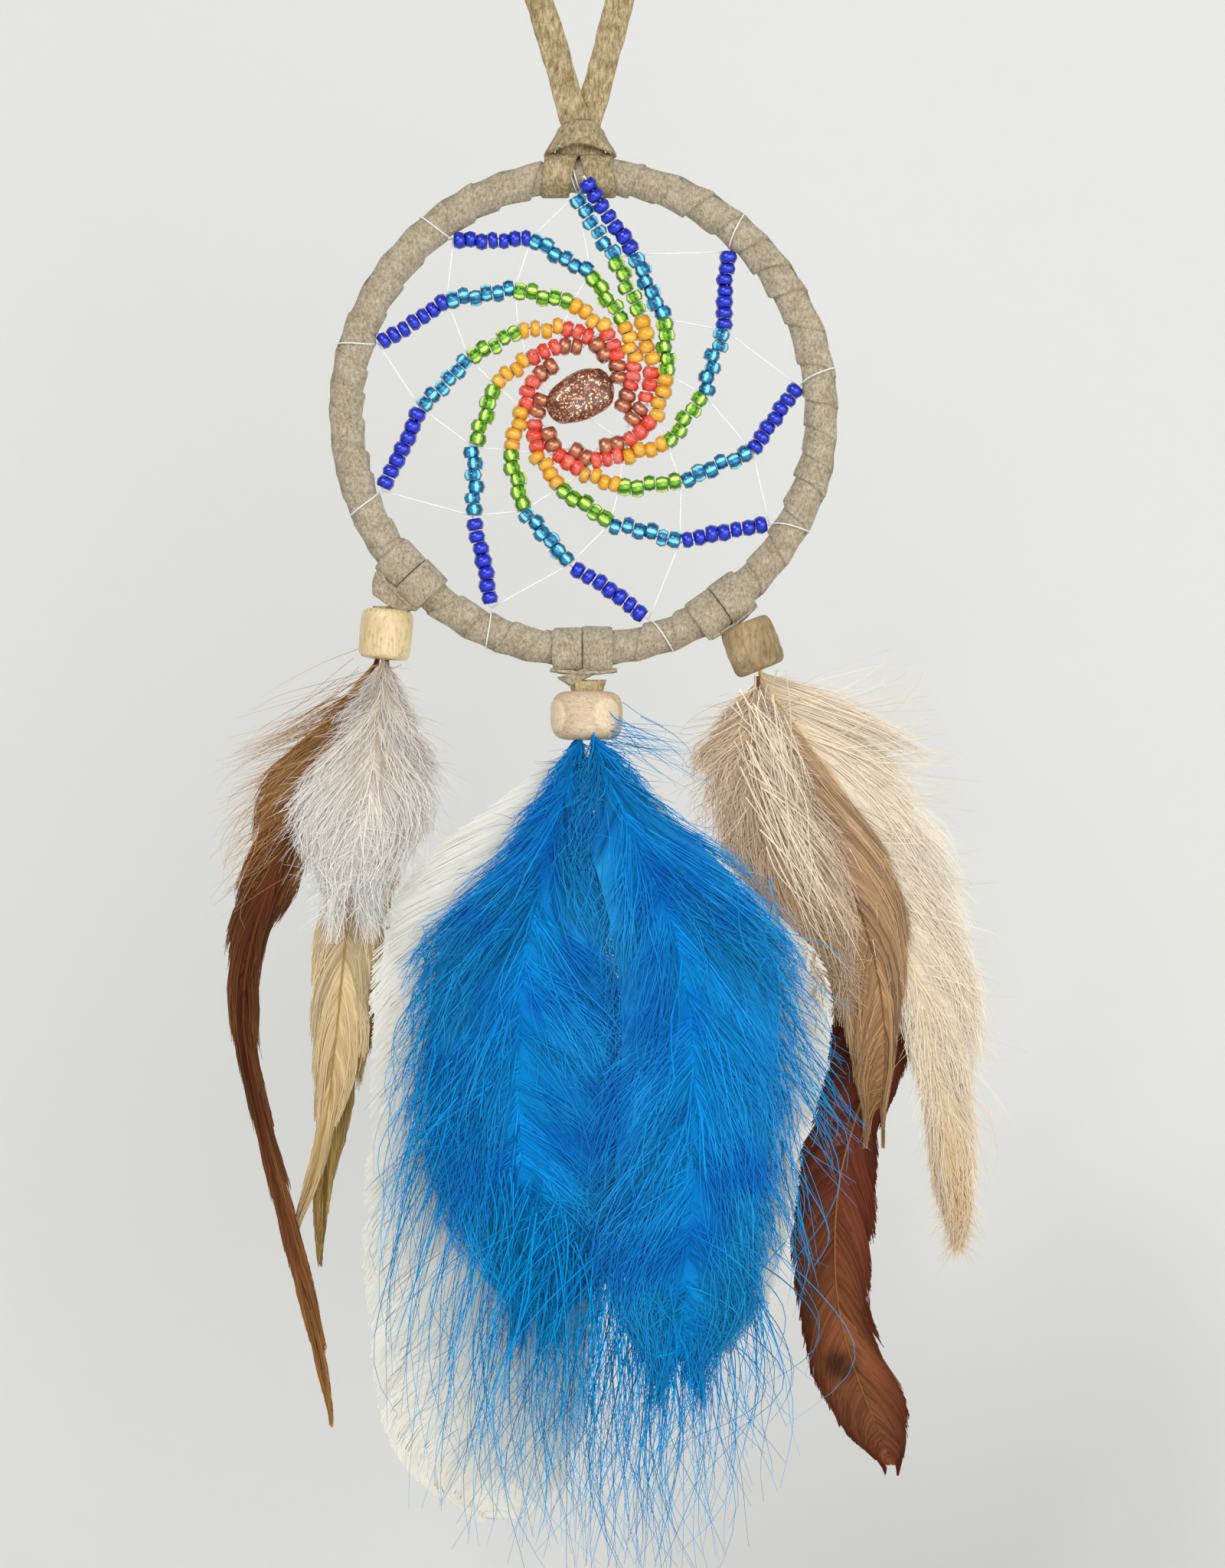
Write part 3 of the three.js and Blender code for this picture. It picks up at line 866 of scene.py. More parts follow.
@dataclass
class Hanger:
    """The flat lace that the hoop hangs by, and its lark's head over the hoop."""

    route: Rows = (
        (-1.5, -0.85, -52.9), (-3.1, -0.8, -47.2), (-5.4, -0.6, -39.0), (-7.9, -0.5, -31.0),
        (-10.3, -0.3, -22.5), (-11.6, -0.2, -14.5), (-10.4, -0.1, -7.0), (-6.2, 0.0, -2.2),
        (-0.8, 0.0, -0.6), (4.6, 0.0, -2.2), (8.9, 0.1, -7.0), (10.1, 0.2, -14.5), (8.9, 0.3, -22.5),
        (6.4, 0.5, -31.0), (4.3, 0.6, -39.0), (2.1, 0.8, -47.2), (0.5, 0.85, -52.9))
    length: float = 0.119
    steps: int = 110
    knot_x: float = -0.6
    bands: Rows = ((-3.9, 0.10), (3.3, -0.10))
    crosspiece: tuple[float, float] = (4.9, 2.9)
    crosspiece_z: float = 48.9
    neck: Rows = ((-0.6, 0.0, 45.2), (-0.6, -0.1, 48.4), (-0.6, -0.1, 51.0))

    def lace(self) -> None:
        """Makes the loop: flat to the front down both sides, and turned over the nail at the top."""
        path = smooth_path(np.array(self.route) + (0, 0, DROP), self.steps)
        along = np.linspace(0, 1, len(path))
        over = np.clip((0.27 - np.abs(along - 0.5)) / 0.16, 0, 1)
        over = (over * over * (3 - 2 * over))[:, None] * (math.pi / 2)
        tangent = unit(np.gradient(path, axis=0))
        flat = unit(np.cross(tangent, BACK))
        across = flat * np.cos(over) + BACK * np.sin(over)
        wide = LACE_WIDE / 2 * (1 + 0.03 * np.sin(along * 61) + 0.02 * np.sin(along * 133))
        shell = Shell()
        shell.tube(path, across, wide, LACE_THICK / 2, BAND_SIDES, BAND_SQUARE, (0.1, 0.9, 3.1))
        piece = dressed(shell.build("hanging_lace"), "hanger", "lace_suede", LACE, "hanger_lace")

    def knot(self) -> None:
        """Makes the two bands over the hoop and the domed crosspiece that holds them."""
        shell = Shell()
        out = WRAP_R + 0.4
        for middle, lean in self.bands:
            turn = np.radians(np.linspace(-118, 215, 44))
            x = self.knot_x + middle + lean * out * np.sin(turn) * 1.6
            path = np.stack([x, -out * np.cos(turn) * 1.02, RING_R + out * np.sin(turn)], axis=1)
            across = RIGHT + np.outer(np.cos(turn), (0, 0, lean))
            wide = LACE_WIDE / 2 + 0.5 * np.clip(np.sin(turn), 0, 1)
            shell.tube(path, across, wide, BAND_HALF, BAND_SIDES, BAND_SQUARE, (0.11, 1.1, middle))
        turn = np.radians(np.linspace(-200, 20, 46))
        half_wide, half_deep = self.crosspiece
        path = np.stack([self.knot_x + half_wide * np.cos(turn), half_deep * np.sin(turn) - 0.5,
                         self.crosspiece_z - 1.7 * (np.abs(np.cos(turn)) ** 2)], axis=1)
        across = np.stack([-0.62 * np.cos(turn), -0.45 * np.sin(turn), np.ones(len(turn))], axis=1)
        shell.tube(path, across, LACE_WIDE / 2, BAND_HALF, BAND_SIDES, BAND_SQUARE, (0.12, 1.3, 8.0))
        neck = smooth_path(self.neck, 8)
        shell.tube(neck, RIGHT, np.linspace(4.6, 3.2, 8), np.linspace(2.2, 1.6, 8), 20, 3.0)
        dressed(shell.build("hanger_lark_head"), "knot", "lace_suede", LACE, "hanger_knot")

    def build(self) -> None:
        """Builds the lace and its knot."""
        self.lace()
        self.knot()


@dataclass
class Hoop:
    """The ring and the strip of suede wound round it, each turn lapping the last."""

    turns: int = 46
    tube: float = 2.68
    lap: float = 0.5
    sides: int = 44
    lap_at: tuple[float, ...] = (0.0, 0.012, 0.05, 0.16, 0.34, 0.56, 0.78, 0.93)
    lap_high: tuple[float, ...] = (0.0, 0.80, 1.0, 0.95, 0.74, 0.46, 0.2, 0.04)

    def wrapping(self) -> None:
        """Winds the strip: one lap edge to each turn, slanting across the tube."""
        spread = np.random.default_rng(11)
        widths = np.clip(spread.normal(1.0, 0.2, self.turns), 0.62, 1.5)
        starts = np.concatenate([[0], np.cumsum(widths)]) / widths.sum()
        steps, sides = np.array(self.lap_at), self.sides
        s = (np.arange(self.turns)[:, None] + steps[None, :]).reshape(-1)
        heights = np.clip(spread.normal(1, 0.18, self.turns), 0.6, 1.4)
        rise = np.tile(self.lap_high, self.turns) * np.repeat(heights, len(steps))
        round_it = np.arange(sides) / sides
        where = s[:, None] - round_it[None, :]
        edge = np.tile(steps < 0.06, self.turns)[:, None]
        where = where + edge * 0.05 * np.sin(4 * np.pi * round_it[None, :] + s[:, None] * 2.4)
        turn_at = np.interp(np.mod(where, self.turns), np.arange(self.turns + 1), starts) * 2 * np.pi
        tube_turn = round_it * 2 * np.pi
        r = self.tube + self.lap * rise[:, None] * (1 + 0.12 * np.sin(3 * tube_turn[None, :] + s[:, None]))
        out = RING_R + r * np.cos(tube_turn)[None, :]
        points = np.stack([out * np.cos(turn_at), r * np.sin(tube_turn)[None, :], out * np.sin(turn_at)], -1)
        shell = Shell()
        shell.add(roughened(points, 0.13, 2.6, 5.0), [self.spiral_faces(len(s), len(steps))])
        dressed(shell.build("hoop_wrapping"), "hoop", "hoop_suede", WRAPPING, "hoop_wrap")

    def spiral_faces(self, rows: int, shift: int) -> Points:
        """Joins the wound strip's points, which move on by one turn each time round the tube.

        Args:
            rows: How many rows of points go round the hoop.
            shift: How many rows one turn of the strip has.

        Returns:
            The corner numbers of each face.
        """
        row = np.arange(rows)
        faces = []
        for c in range(self.sides):
            beside, on = (c + 1) % self.sides, shift if c == self.sides - 1 else 0
            quad = [(row, c), (row + on, beside), (row + 1 + on, beside), (row + 1, c)]
            faces.append(np.stack([(r % rows) * self.sides + column for r, column in quad], axis=1))
        return np.concatenate(faces)

    def build(self) -> None:
        """Dresses the ring and winds the suede."""
        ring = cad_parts["hoop_core"]
        ring.data.materials.clear()
        ring.data.materials.append(Steel().material())
        self.wrapping()


@dataclass
class CharmKnot:
    """A lark's head on the hoop that a charm hangs from, and the lace down to its bead."""

    side: str
    angle: float
    bead_top: tuple[float, float]
    seed: float
    folded_end: bool = False
    bands: Rows = ((-2.75, 0.05, 0.0), (2.35, -0.06, 0.25))
    band_half_wide: float = 2.65
    neck_wide: tuple[float, ...] = (5.0, 4.7, 3.8, 3.1)

    def build(self) -> None:
        """Builds the bands, the lip outside them, the neck and the short tail."""
        a = math.radians(self.angle)
        outward = np.array((math.cos(a), 0.0, math.sin(a)))
        along = np.array((-math.sin(a), 0.0, math.cos(a)))
        centre = outward * RING_R
        shell = Shell()
        turn = np.radians(np.linspace(-165, 165, 46))
        for middle, lean, rise in self.bands:
            out = WRAP_R + 0.4 + rise
            path = centre + (np.outer(out * np.cos(turn), -outward) + np.outer(out * np.sin(turn), BACK)
                             + np.outer(middle + lean * out * np.sin(turn), along))
            across = along + np.outer(np.sin(turn), lean * outward)
            shell.tube(path, across, self.band_half_wide, BAND_HALF, BAND_SIDES, BAND_SQUARE,
                       (0.12, 1.2, middle + self.seed))
        reach = np.linspace(-1, 1, 30)
        long = 5.9 if self.folded_end else 4.7
        path = centre + np.outer(long * reach, along) + np.outer(4.1 - 0.5 * reach ** 2, outward)
        shell.tube(path, BACK, 2.4 - 0.8 * np.abs(reach) ** 3, 0.36, 12, 4.0, (0.14, 1.4, self.seed))
        foot = np.array((self.bead_top[0], 0.0, self.bead_top[1]))
        head = centre + outward * 3.4
        neck = smooth_path([head, (head + foot) / 2 + outward * 0.15, foot], 12)
        widths = np.interp(np.linspace(0, 1, 12), (0, 0.3, 0.7, 1.0), self.neck_wide)
        shell.tube(neck, along, widths, np.linspace(2.2, 1.5, 12), 18, 3.2, (0.16, 1.5, self.seed + 2))
        dressed(shell.build(f"{self.side}_lark_head"), "hoop", "lace_suede", WRAPPING, f"{self.side}_knot")
        self.tail()

    def tail(self) -> None:
        """Makes the two short ends that go into the bead, and the one that is folded over in front."""
        body = f"{self.side}_tail"
        low, high = [np.array(v) * 1000 + (0, 0, DROP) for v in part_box(body)]
        x = (low[0] + high[0]) / 2
        shell = Shell()
        for shift in (-0.42, 0.42):
            path = np.linspace((x, shift, high[2] - 0.1), (x, shift * 0.9, low[2] + 0.05), 7)
            wide = np.linspace(3.5, 2.7, 7) if self.folded_end else 2.4
            shell.tube(path, RIGHT, wide, BAND_HALF, 12, BAND_SQUARE, (0.06, 0.8, shift))
        dressed(shell.build(f"{self.side}_lace_tail"), body, "lace_suede", LACE, body)
        if self.folded_end:
            fold = Shell()
            path = smooth_path([(x - 0.1, -1.2, high[2] - 0.5), (x - 0.1, -1.45, high[2] - 1.4),
                                (x, -1.25, low[2] + 0.1)], 9)
            fold.tube(path, RIGHT, 2.0, 0.34, 12, BAND_SQUARE, (0.05, 0.8, 4.0))
            dressed(fold.build(f"{self.side}_folded_end"), body, "lace_suede", PALE_LACE)


# ---- The web ------------------------------------------------------------------------------------


@dataclass
class Web:
    """White thread hitched in ten arms that spiral inwards, beaded from blue to copper."""

    arms: tuple[Rows, ...] = (
        ((-23.1, 30.6), (-9.2, 31.0), (1.3, 24.7), (7.4, 16.0), (9.4, 8.9), (8.4, 3.9), (6.8, 0.2)),
        ((-1.3, 38.2), (5.6, 27.4), (10.4, 17.4), (12.4, 8.2), (11.3, 1.6), (7.7, -2.4)),
        ((0.1, 41.0), (9.2, 28.0), (14.4, 16.6), (15.2, 6.6), (12.6, -1.4), (7.7, -5.7), (2.2, -6.3)),
        ((25.7, 28.5), (24.9, 14.6), (21.3, 3.2), (14.9, -5.9), (7.0, -7.8), (1.3, -8.9), (-2.6, -6.2)),
        ((38.1, 4.7), (29.9, -7.0), (17.2, -12.5), (6.2, -13.5), (-0.6, -10.6), (-5.3, -7.4), (-6.8, -2.2)),
        ((32.9, -19.8), (17.0, -23.0), (4.6, -19.7), (-4.6, -13.4), (-8.6, -7.0), (-9.1, -1.2), (-7.0, 3.9)),
        ((11.5, -36.6), (-2.6, -26.9), (-10.8, -17.4), (-13.4, -6.6), (-11.0, 0.9), (-9.0, 6.5), (-4.7, 9.2)),
        ((-16.5, -34.6), (-19.7, -18.2), (-19.6, -6.0), (-15.9, 5.2), (-10.0, 9.8), (-4.3, 12.4), (-0.2, 11.6)),
        ((-35.8, -13.8), (-29.0, 1.0), (-20.4, 9.8), (-11.6, 14.9), (-3.6, 15.4), (1.7, 13.5), (4.6, 9.1)),
        ((-36.4, 12.2), (-24.2, 20.0), (-12.2, 22.0), (-2.0, 19.8), (4.4, 14.9), (6.4, 9.3), (6.3, 5.2)))
    hitches: tuple[float, ...] = (127, 90.2, 91.2, 48, 7, 329, 287.5, 244.5, 201, 161.5)
    late_arm: int = 1
    forward: tuple[tuple[int, float], ...] = ((1, -2.4), (2, -4.3))
    thread: float = 0.15
    loop_thread: float = 0.13
    depths: tuple[float, ...] = (0.0, 0.0, 0.0, 0.3, 0.6, 0.75)
    stone_tie: Rows = ((-9.0, 6.5), (7.7, -5.7))
    stone_tie_deep: float = 0.75
    seed_count: tuple[int, ...] = (7, 6, 5, 4, 3, 2)
    seed_ring: float = 0.92
    seed_glass: float = 0.68
    seed_stretch: float = 1.52
    sways: tuple[tuple[str, float], ...] = (
        ("blue", 0.07), ("turquoise", 0.26), ("green", 0.26), ("yellow", 0.24), ("red", 0.22), ("copper", 0.1))
    strand_rounds: int = 3
    seed_shape: tuple[Points, ...] = ()

    def knot(self, arm: int, step: int) -> Points:
        """Gives the place of a hitch.

        Args:
            arm: The arm's number.
            step: How many rounds in from the hoop the hitch is.

        Returns:
            Its x, y and z.
        """
        points = self.arms[arm]
        step -= 1 if arm == self.late_arm else 0
        x, z = points[max(0, min(step, len(points) - 1))]
        deep = dict(self.forward).get(arm, 0.0) if step <= 0 else self.depths[min(step, len(self.depths) - 1)]
        return np.array((x, deep, z))

    def one_seed(self) -> tuple[Points, Points, Points]:
        """Models a seed bead and reads it back.

        Returns:
            Its points, its faces, and the face corners' places on the bead's own map.
        """
        deselected()
        bpy.ops.mesh.primitive_torus_add(major_segments=12, minor_segments=6, major_radius=self.seed_ring,
                                         minor_radius=self.seed_glass)
        bpy.ops.object.mode_set(mode="EDIT")
        bpy.ops.mesh.select_all(action="SELECT")
        bpy.ops.transform.resize(value=(1, 1, self.seed_stretch))
        bpy.ops.object.mode_set(mode="OBJECT")
        points, faces = read_back(bpy.context.object, 4)
        out = np.hypot(points[:, 0], points[:, 1])
        round_it = np.arctan2(points[:, 1], points[:, 0]) / (2 * np.pi)
        over_it = np.arctan2(points[:, 2] / self.seed_stretch, out - self.seed_ring) / (2 * np.pi)
        places = np.stack([round_it, over_it], 1)[faces]
        places -= np.round(places - places[:, :1])
        return points, faces, places

    def seeds(self, name: str, places: list[tuple[Points, Points]], finish: object, slot: str, node: str,
              seed: int, size: float = 1.0) -> None:
        """Copies the seed bead to each place.

        Args:
            name: The piece's name.
            places: Each bead's middle and the way that its hole runs.
            finish: The beads' finish.
            slot: The record's material slot.
            node: The frame node that they stand for.
            seed: The start of the small differences between beads.
            size: How large the beads are.
        """
        spread = np.random.default_rng(seed)
        points, faces, uv = self.seed_shape
        shell = Shell()
        maps = []
        for middle, axis in places:
            long = np.linalg.norm(axis) / SEED_PITCH
            axis = unit(axis + spread.normal(0, 0.08, 3))
            side = unit(np.cross(axis, spread.normal(0, 1, 3)))
            third = np.cross(axis, side)
            grow = size * spread.normal(1, 0.03)
            body = points * (grow, grow, long * spread.normal(1, 0.05))
            shell.add(middle + body @ np.stack([side, third, axis]), [faces], tint=spread.random())
            maps.append(uv)
        piece = shell.build(name)
        layer = piece.data.uv_layers.new(name="seed_map")
        layer.data.foreach_set("uv", np.concatenate(maps).astype(np.float32).ravel())
        dressed(piece, "hoop", slot, finish, node)

    def strung(self, start: Points, end: Points, count: int, lead: float, sway: float,
               spread: np.random.Generator) -> list[tuple[Points, Points]]:
        """Spaces beads along one stretch of thread, a little out of line.

        Args:
            start: The outer knot.
            end: The inner knot.
            count: How many beads there are.
            lead: How far the first is from the outer knot.
            sway: How far they lie out of line.
            spread: The source of the small differences.

        Returns:
            Each bead's middle and the way that its hole runs.
        """
        line = end - start
        length = np.linalg.norm(line)
        way = line / length
        side = np.cross(way, BACK)
        room = length - lead
        pitch = min(1.13 * SEED_PITCH, room / count)
        begin = lead + (room - pitch * count) / 2 + pitch / 2
        places = []
        for n in range(count):
            off = sway * (1 if n % 2 else -1) + spread.normal(0, 0.08)
            bow = 0.35 * math.sin(math.pi * (n + 0.5) / count)
            middle = start + way * (begin + pitch * n) + side * (off - bow) + BACK * spread.normal(0, 0.15)
            places.append((middle, way * pitch))
        return places

    def threads(self) -> None:
        """Draws the bare thread between hitches, and its loops round the wrapped hoop."""
        shell = Shell()

        def run(points: Points, steps: int = 8, radius: float = 0.0) -> None:
            """Adds one length of thread through some points."""
            radius = radius or self.thread
            shell.tube(smooth_path(points, steps), np.array((0.31, 0.94, 0.12)), radius, radius, 6)

        for arm, hitch in enumerate(self.hitches):
            first = self.knot(arm, 0 if arm != self.late_arm else 1)
            x, z = on_hoop(hitch, RING_R - WRAP_R - 0.1)
            run([(x, 0.0, z), (np.array((x, 0.0, z)) + first) / 2, first], 6)
            turn = np.radians(np.linspace(0, 345, 40))
            lean = np.radians(hitch + 3.0 * np.sin(turn / 2))
            clear = WRAP_R + 0.2
            out = RING_R - clear * np.cos(turn)
            loop = np.stack([out * np.cos(lean), clear * np.sin(turn), out * np.sin(lean)], axis=1)
            run(loop, 48, self.loop_thread)
            for step in range(len(self.arms[arm]) - 1):
                actual = step + (1 if arm == self.late_arm else 0)
                start, end = self.knot(arm, actual), self.knot(arm, actual + 1)
                run([start, end], 4)
                before = (arm + 1) % len(self.arms)
                if before == self.late_arm and actual == 0:
                    far = self.knot(before, 1)
                    run([self.knot(arm, 1), (self.knot(arm, 1) + far) / 2, far], 6)
                    continue
                bow = np.array((0, -0.05, 0))
                far = self.knot(before, actual)
                run([self.knot(arm, actual + 1), (self.knot(arm, actual + 1) + far) / 2 + bow, far], 6)
        ends = [np.array((x, self.stone_tie_deep, z)) for x, z in self.stone_tie]
        run([ends[0], (ends[0] + ends[1]) / 2, ends[1]], 8)
        dressed(shell.build("web_threads"), "hoop", "thread", Nylon(), "web_thread")

    def build(self) -> None:
        """Strings every round of beads."""
        self.seed_shape = self.one_seed()
        self.threads()
        spread = np.random.default_rng(4)
        finishes = (
            Glass("blue_glass", body="001cc6", deep="01053c", painted_highlight="1c4cf4", lining=Lining.CLEAR),
            Glass(
                "turquoise_glass", body="008ac6", deep="00243c", painted_highlight="86eeff", lining=Lining.SILVER),
            Glass(
                "green_glass", body="74c408", deep="183400", painted_highlight="e4ff7c", lining=Lining.SILVER),
            Glass(
                "yellow_glass", body="fbb604", deep="c06a08", painted_highlight="ffe07a", lining=Lining.RAINBOW),
            Glass("red_glass", body="fa4826", deep="b01c1a", painted_highlight="ffa49a", lining=Lining.RAINBOW),
            Copper())
        ahead = (0, -self.thread, 0)
        for step, ((colour, sway), finish) in enumerate(zip(self.sways, finishes)):
            gathered = []
            order = 0
            slot = finish.name
            for arm in range(len(self.arms)):
                late = 1 if arm == self.late_arm else 0
                if step < late or step - late + 1 >= len(self.arms[arm]):
                    continue
                start, end = self.knot(arm, step) + ahead, self.knot(arm, step + 1) + ahead
                lead = self.thread if step == late else 0.0
                places = self.strung(start, end, self.seed_count[step], lead, sway, spread)
                order += 1
                if step < self.strand_rounds:
                    self.seeds(f"{colour}_beads_{order}", places, finish, slot, f"{colour}_strand_{order}",
                               50 + order)
                else:
                    gathered += places
            if gathered:
                self.seeds(f"{colour}_beads", gathered, finish, slot, f"{colour}_round", 90 + step,
                           1.05 if colour == "copper" else 0.98)


@dataclass
class Stone:
    """The tumbled goldstone chip on the thread across the middle."""

    x: float = -0.6
    y: float = 0.55
    z: float = 3.0
    long: float = 12.2
    wide: float = 8.4
    deep: float = 5.4
    turn: float = 27.0

    def build(self) -> None:
        """Shapes the chip: a ball made uneven, flattened in places and turned."""
        deselected()
        bpy.ops.mesh.primitive_ico_sphere_add(subdivisions=5, radius=1.0)
        points, faces = read_back(bpy.context.object, 3)
        lumps = np.array([noise.noise((p[0] * 0.9 + 4.2, p[1] * 0.9, p[2] * 0.9)) for p in points])
        ripple = np.array([noise.noise((p[0] * 3.1, p[1] * 3.1 + 7, p[2] * 3.1)) for p in points])
        body = points * (1 + 0.20 * lumps + 0.035 * ripple)[:, None]
        body = np.sign(body) * np.abs(body) ** 0.78
        body[:, 0] += 0.12 * body[:, 2] ** 2
        body *= (self.long / 2 * 0.98, self.deep / 2, self.wide / 2)
        body[:, 2] *= 1 - 0.14 * body[:, 0] / self.long
        shell = Shell()
        shell.add(leaned(body, self.turn) + (self.x, self.y, self.z), [faces])
        dressed(shell.build("goldstone"), "stone", "goldstone", Goldstone(), "goldstone_chip")


# ---- Wooden beads -------------------------------------------------------------------------------


class Surface(Enum):
    """How a wooden bead was finished."""

    POLISHED = "polished"
    PLUGGED = "plugged"
    GROOVED = "grooved"


@dataclass
class WoodBead:
    """A turned bead with a bore, standing on its charm's lace."""

    side: str
    middle: tuple[float, float]
    radius: float
    tall: float
    bore: float
    lean: float
    surface: Surface
    finish: Wood
    spin_steps: int = 96
    plugs: Rows = ((-52, 0.1), (-155, -0.1))
    plug_r: float = 2.95

    def profile(self) -> Points:
        """Gives the bead's half section: up its rounded outside and down its bore.

        Returns:
            Points of distance from the axis and height.
        """
        h = self.tall / 2
        turn = np.linspace(-math.pi / 2, math.pi / 2, 31)
        power = {Surface.POLISHED: 0.42, Surface.PLUGGED: 0.62, Surface.GROOVED: 0.40}[self.surface]
        z = h * np.sign(np.sin(turn)) * np.abs(np.sin(turn)) ** power
        r = self.bore + (self.radius - self.bore) * np.abs(np.cos(turn)) ** power
        inner = np.linspace(h, -h, 8)[1:-1]
        return np.vstack([np.stack([r, z], 1), np.stack([np.full(6, self.bore * 0.96), inner], 1)])

    def build(self) -> None:
        """Spins the section, then works the outside."""
        deselected()
        section = self.profile()
        mesh = bpy.data.meshes.new("section")
        count = len(section)
        mesh.from_pydata([(r, 0, z) for r, z in section], [(n, (n + 1) % count) for n in range(count)], [])
        work = placed("section", mesh)
        bpy.context.view_layer.objects.active = work
        work.select_set(True)
        bpy.ops.object.mode_set(mode="EDIT")
        bpy.ops.mesh.select_all(action="SELECT")
        bpy.ops.mesh.spin(steps=self.spin_steps, angle=2 * math.pi, center=(0, 0, 0), axis=(0, 0, 1))
        bpy.ops.mesh.select_all(action="SELECT")
        bpy.ops.mesh.remove_doubles(threshold=0.001)
        bpy.ops.mesh.normals_make_consistent(inside=False)
        bpy.ops.object.mode_set(mode="OBJECT")
        points, faces = read_back(work, 4)
        points, plug = self.worked(points)
        shell = Shell()
        shell.add(leaned(points, self.lean) + (self.middle[0], 0, self.middle[1]), [faces], plug=plug)
        piece = shell.build(f"{self.side}_wooden_bead")
        dressed(piece, f"{self.side}_charm", self.finish.name, self.finish, f"{self.side}_bead")

    def worked(self, points: Points) -> tuple[Points, Points]:
        """Cuts grooves or sets the round plugs into the outside.

        Args:
            points: The bead's points, standing upright round its own middle.

        Returns:
            The worked points, and 1 for each point on a plug.
        """
        out = np.hypot(points[:, 0], points[:, 1])
        around = np.arctan2(points[:, 1], points[:, 0])
        skin = np.clip((out - self.bore * 1.05) / 0.4, 0, 1)
        grow = np.zeros(len(points))
        plug = np.zeros(len(points))
        if self.surface is Surface.GROOVED:
            weave = np.array([noise.noise((math.cos(t) * 5 + 1, math.sin(t) * 5, z * 0.16))
                              for t, z in zip(around, points[:, 2])])
            grow = -0.45 * np.abs(weave) ** 0.6 + 0.18
        elif self.surface is Surface.PLUGGED:
            for turn, high in self.plugs:
                a = math.radians(turn)
                face = np.array((math.cos(a), math.sin(a), 0))
                flat = points - np.outer(points @ face, face) - (0, 0, high)
                apart = np.linalg.norm(flat, axis=1)
                front = (points @ face) > 0
                disc = front & (apart < self.plug_r)
                seam = front & (np.abs(apart - self.plug_r - 0.1) < 0.16)
                plug[disc] = 1
                grow = grow + np.where(disc, 0.16, 0) - np.where(seam, 0.22, 0)
        rough = np.array([noise.noise((p[0] * 0.8, p[1] * 0.8, p[2] * 0.8 + 9)) for p in points])
        scale = 1 + skin * (grow + 0.07 * rough) / np.maximum(out, 1)
        return points * np.stack([scale, scale, np.ones(len(points))], 1), plug


# ---- Feathers -----------------------------------------------------------------------------------


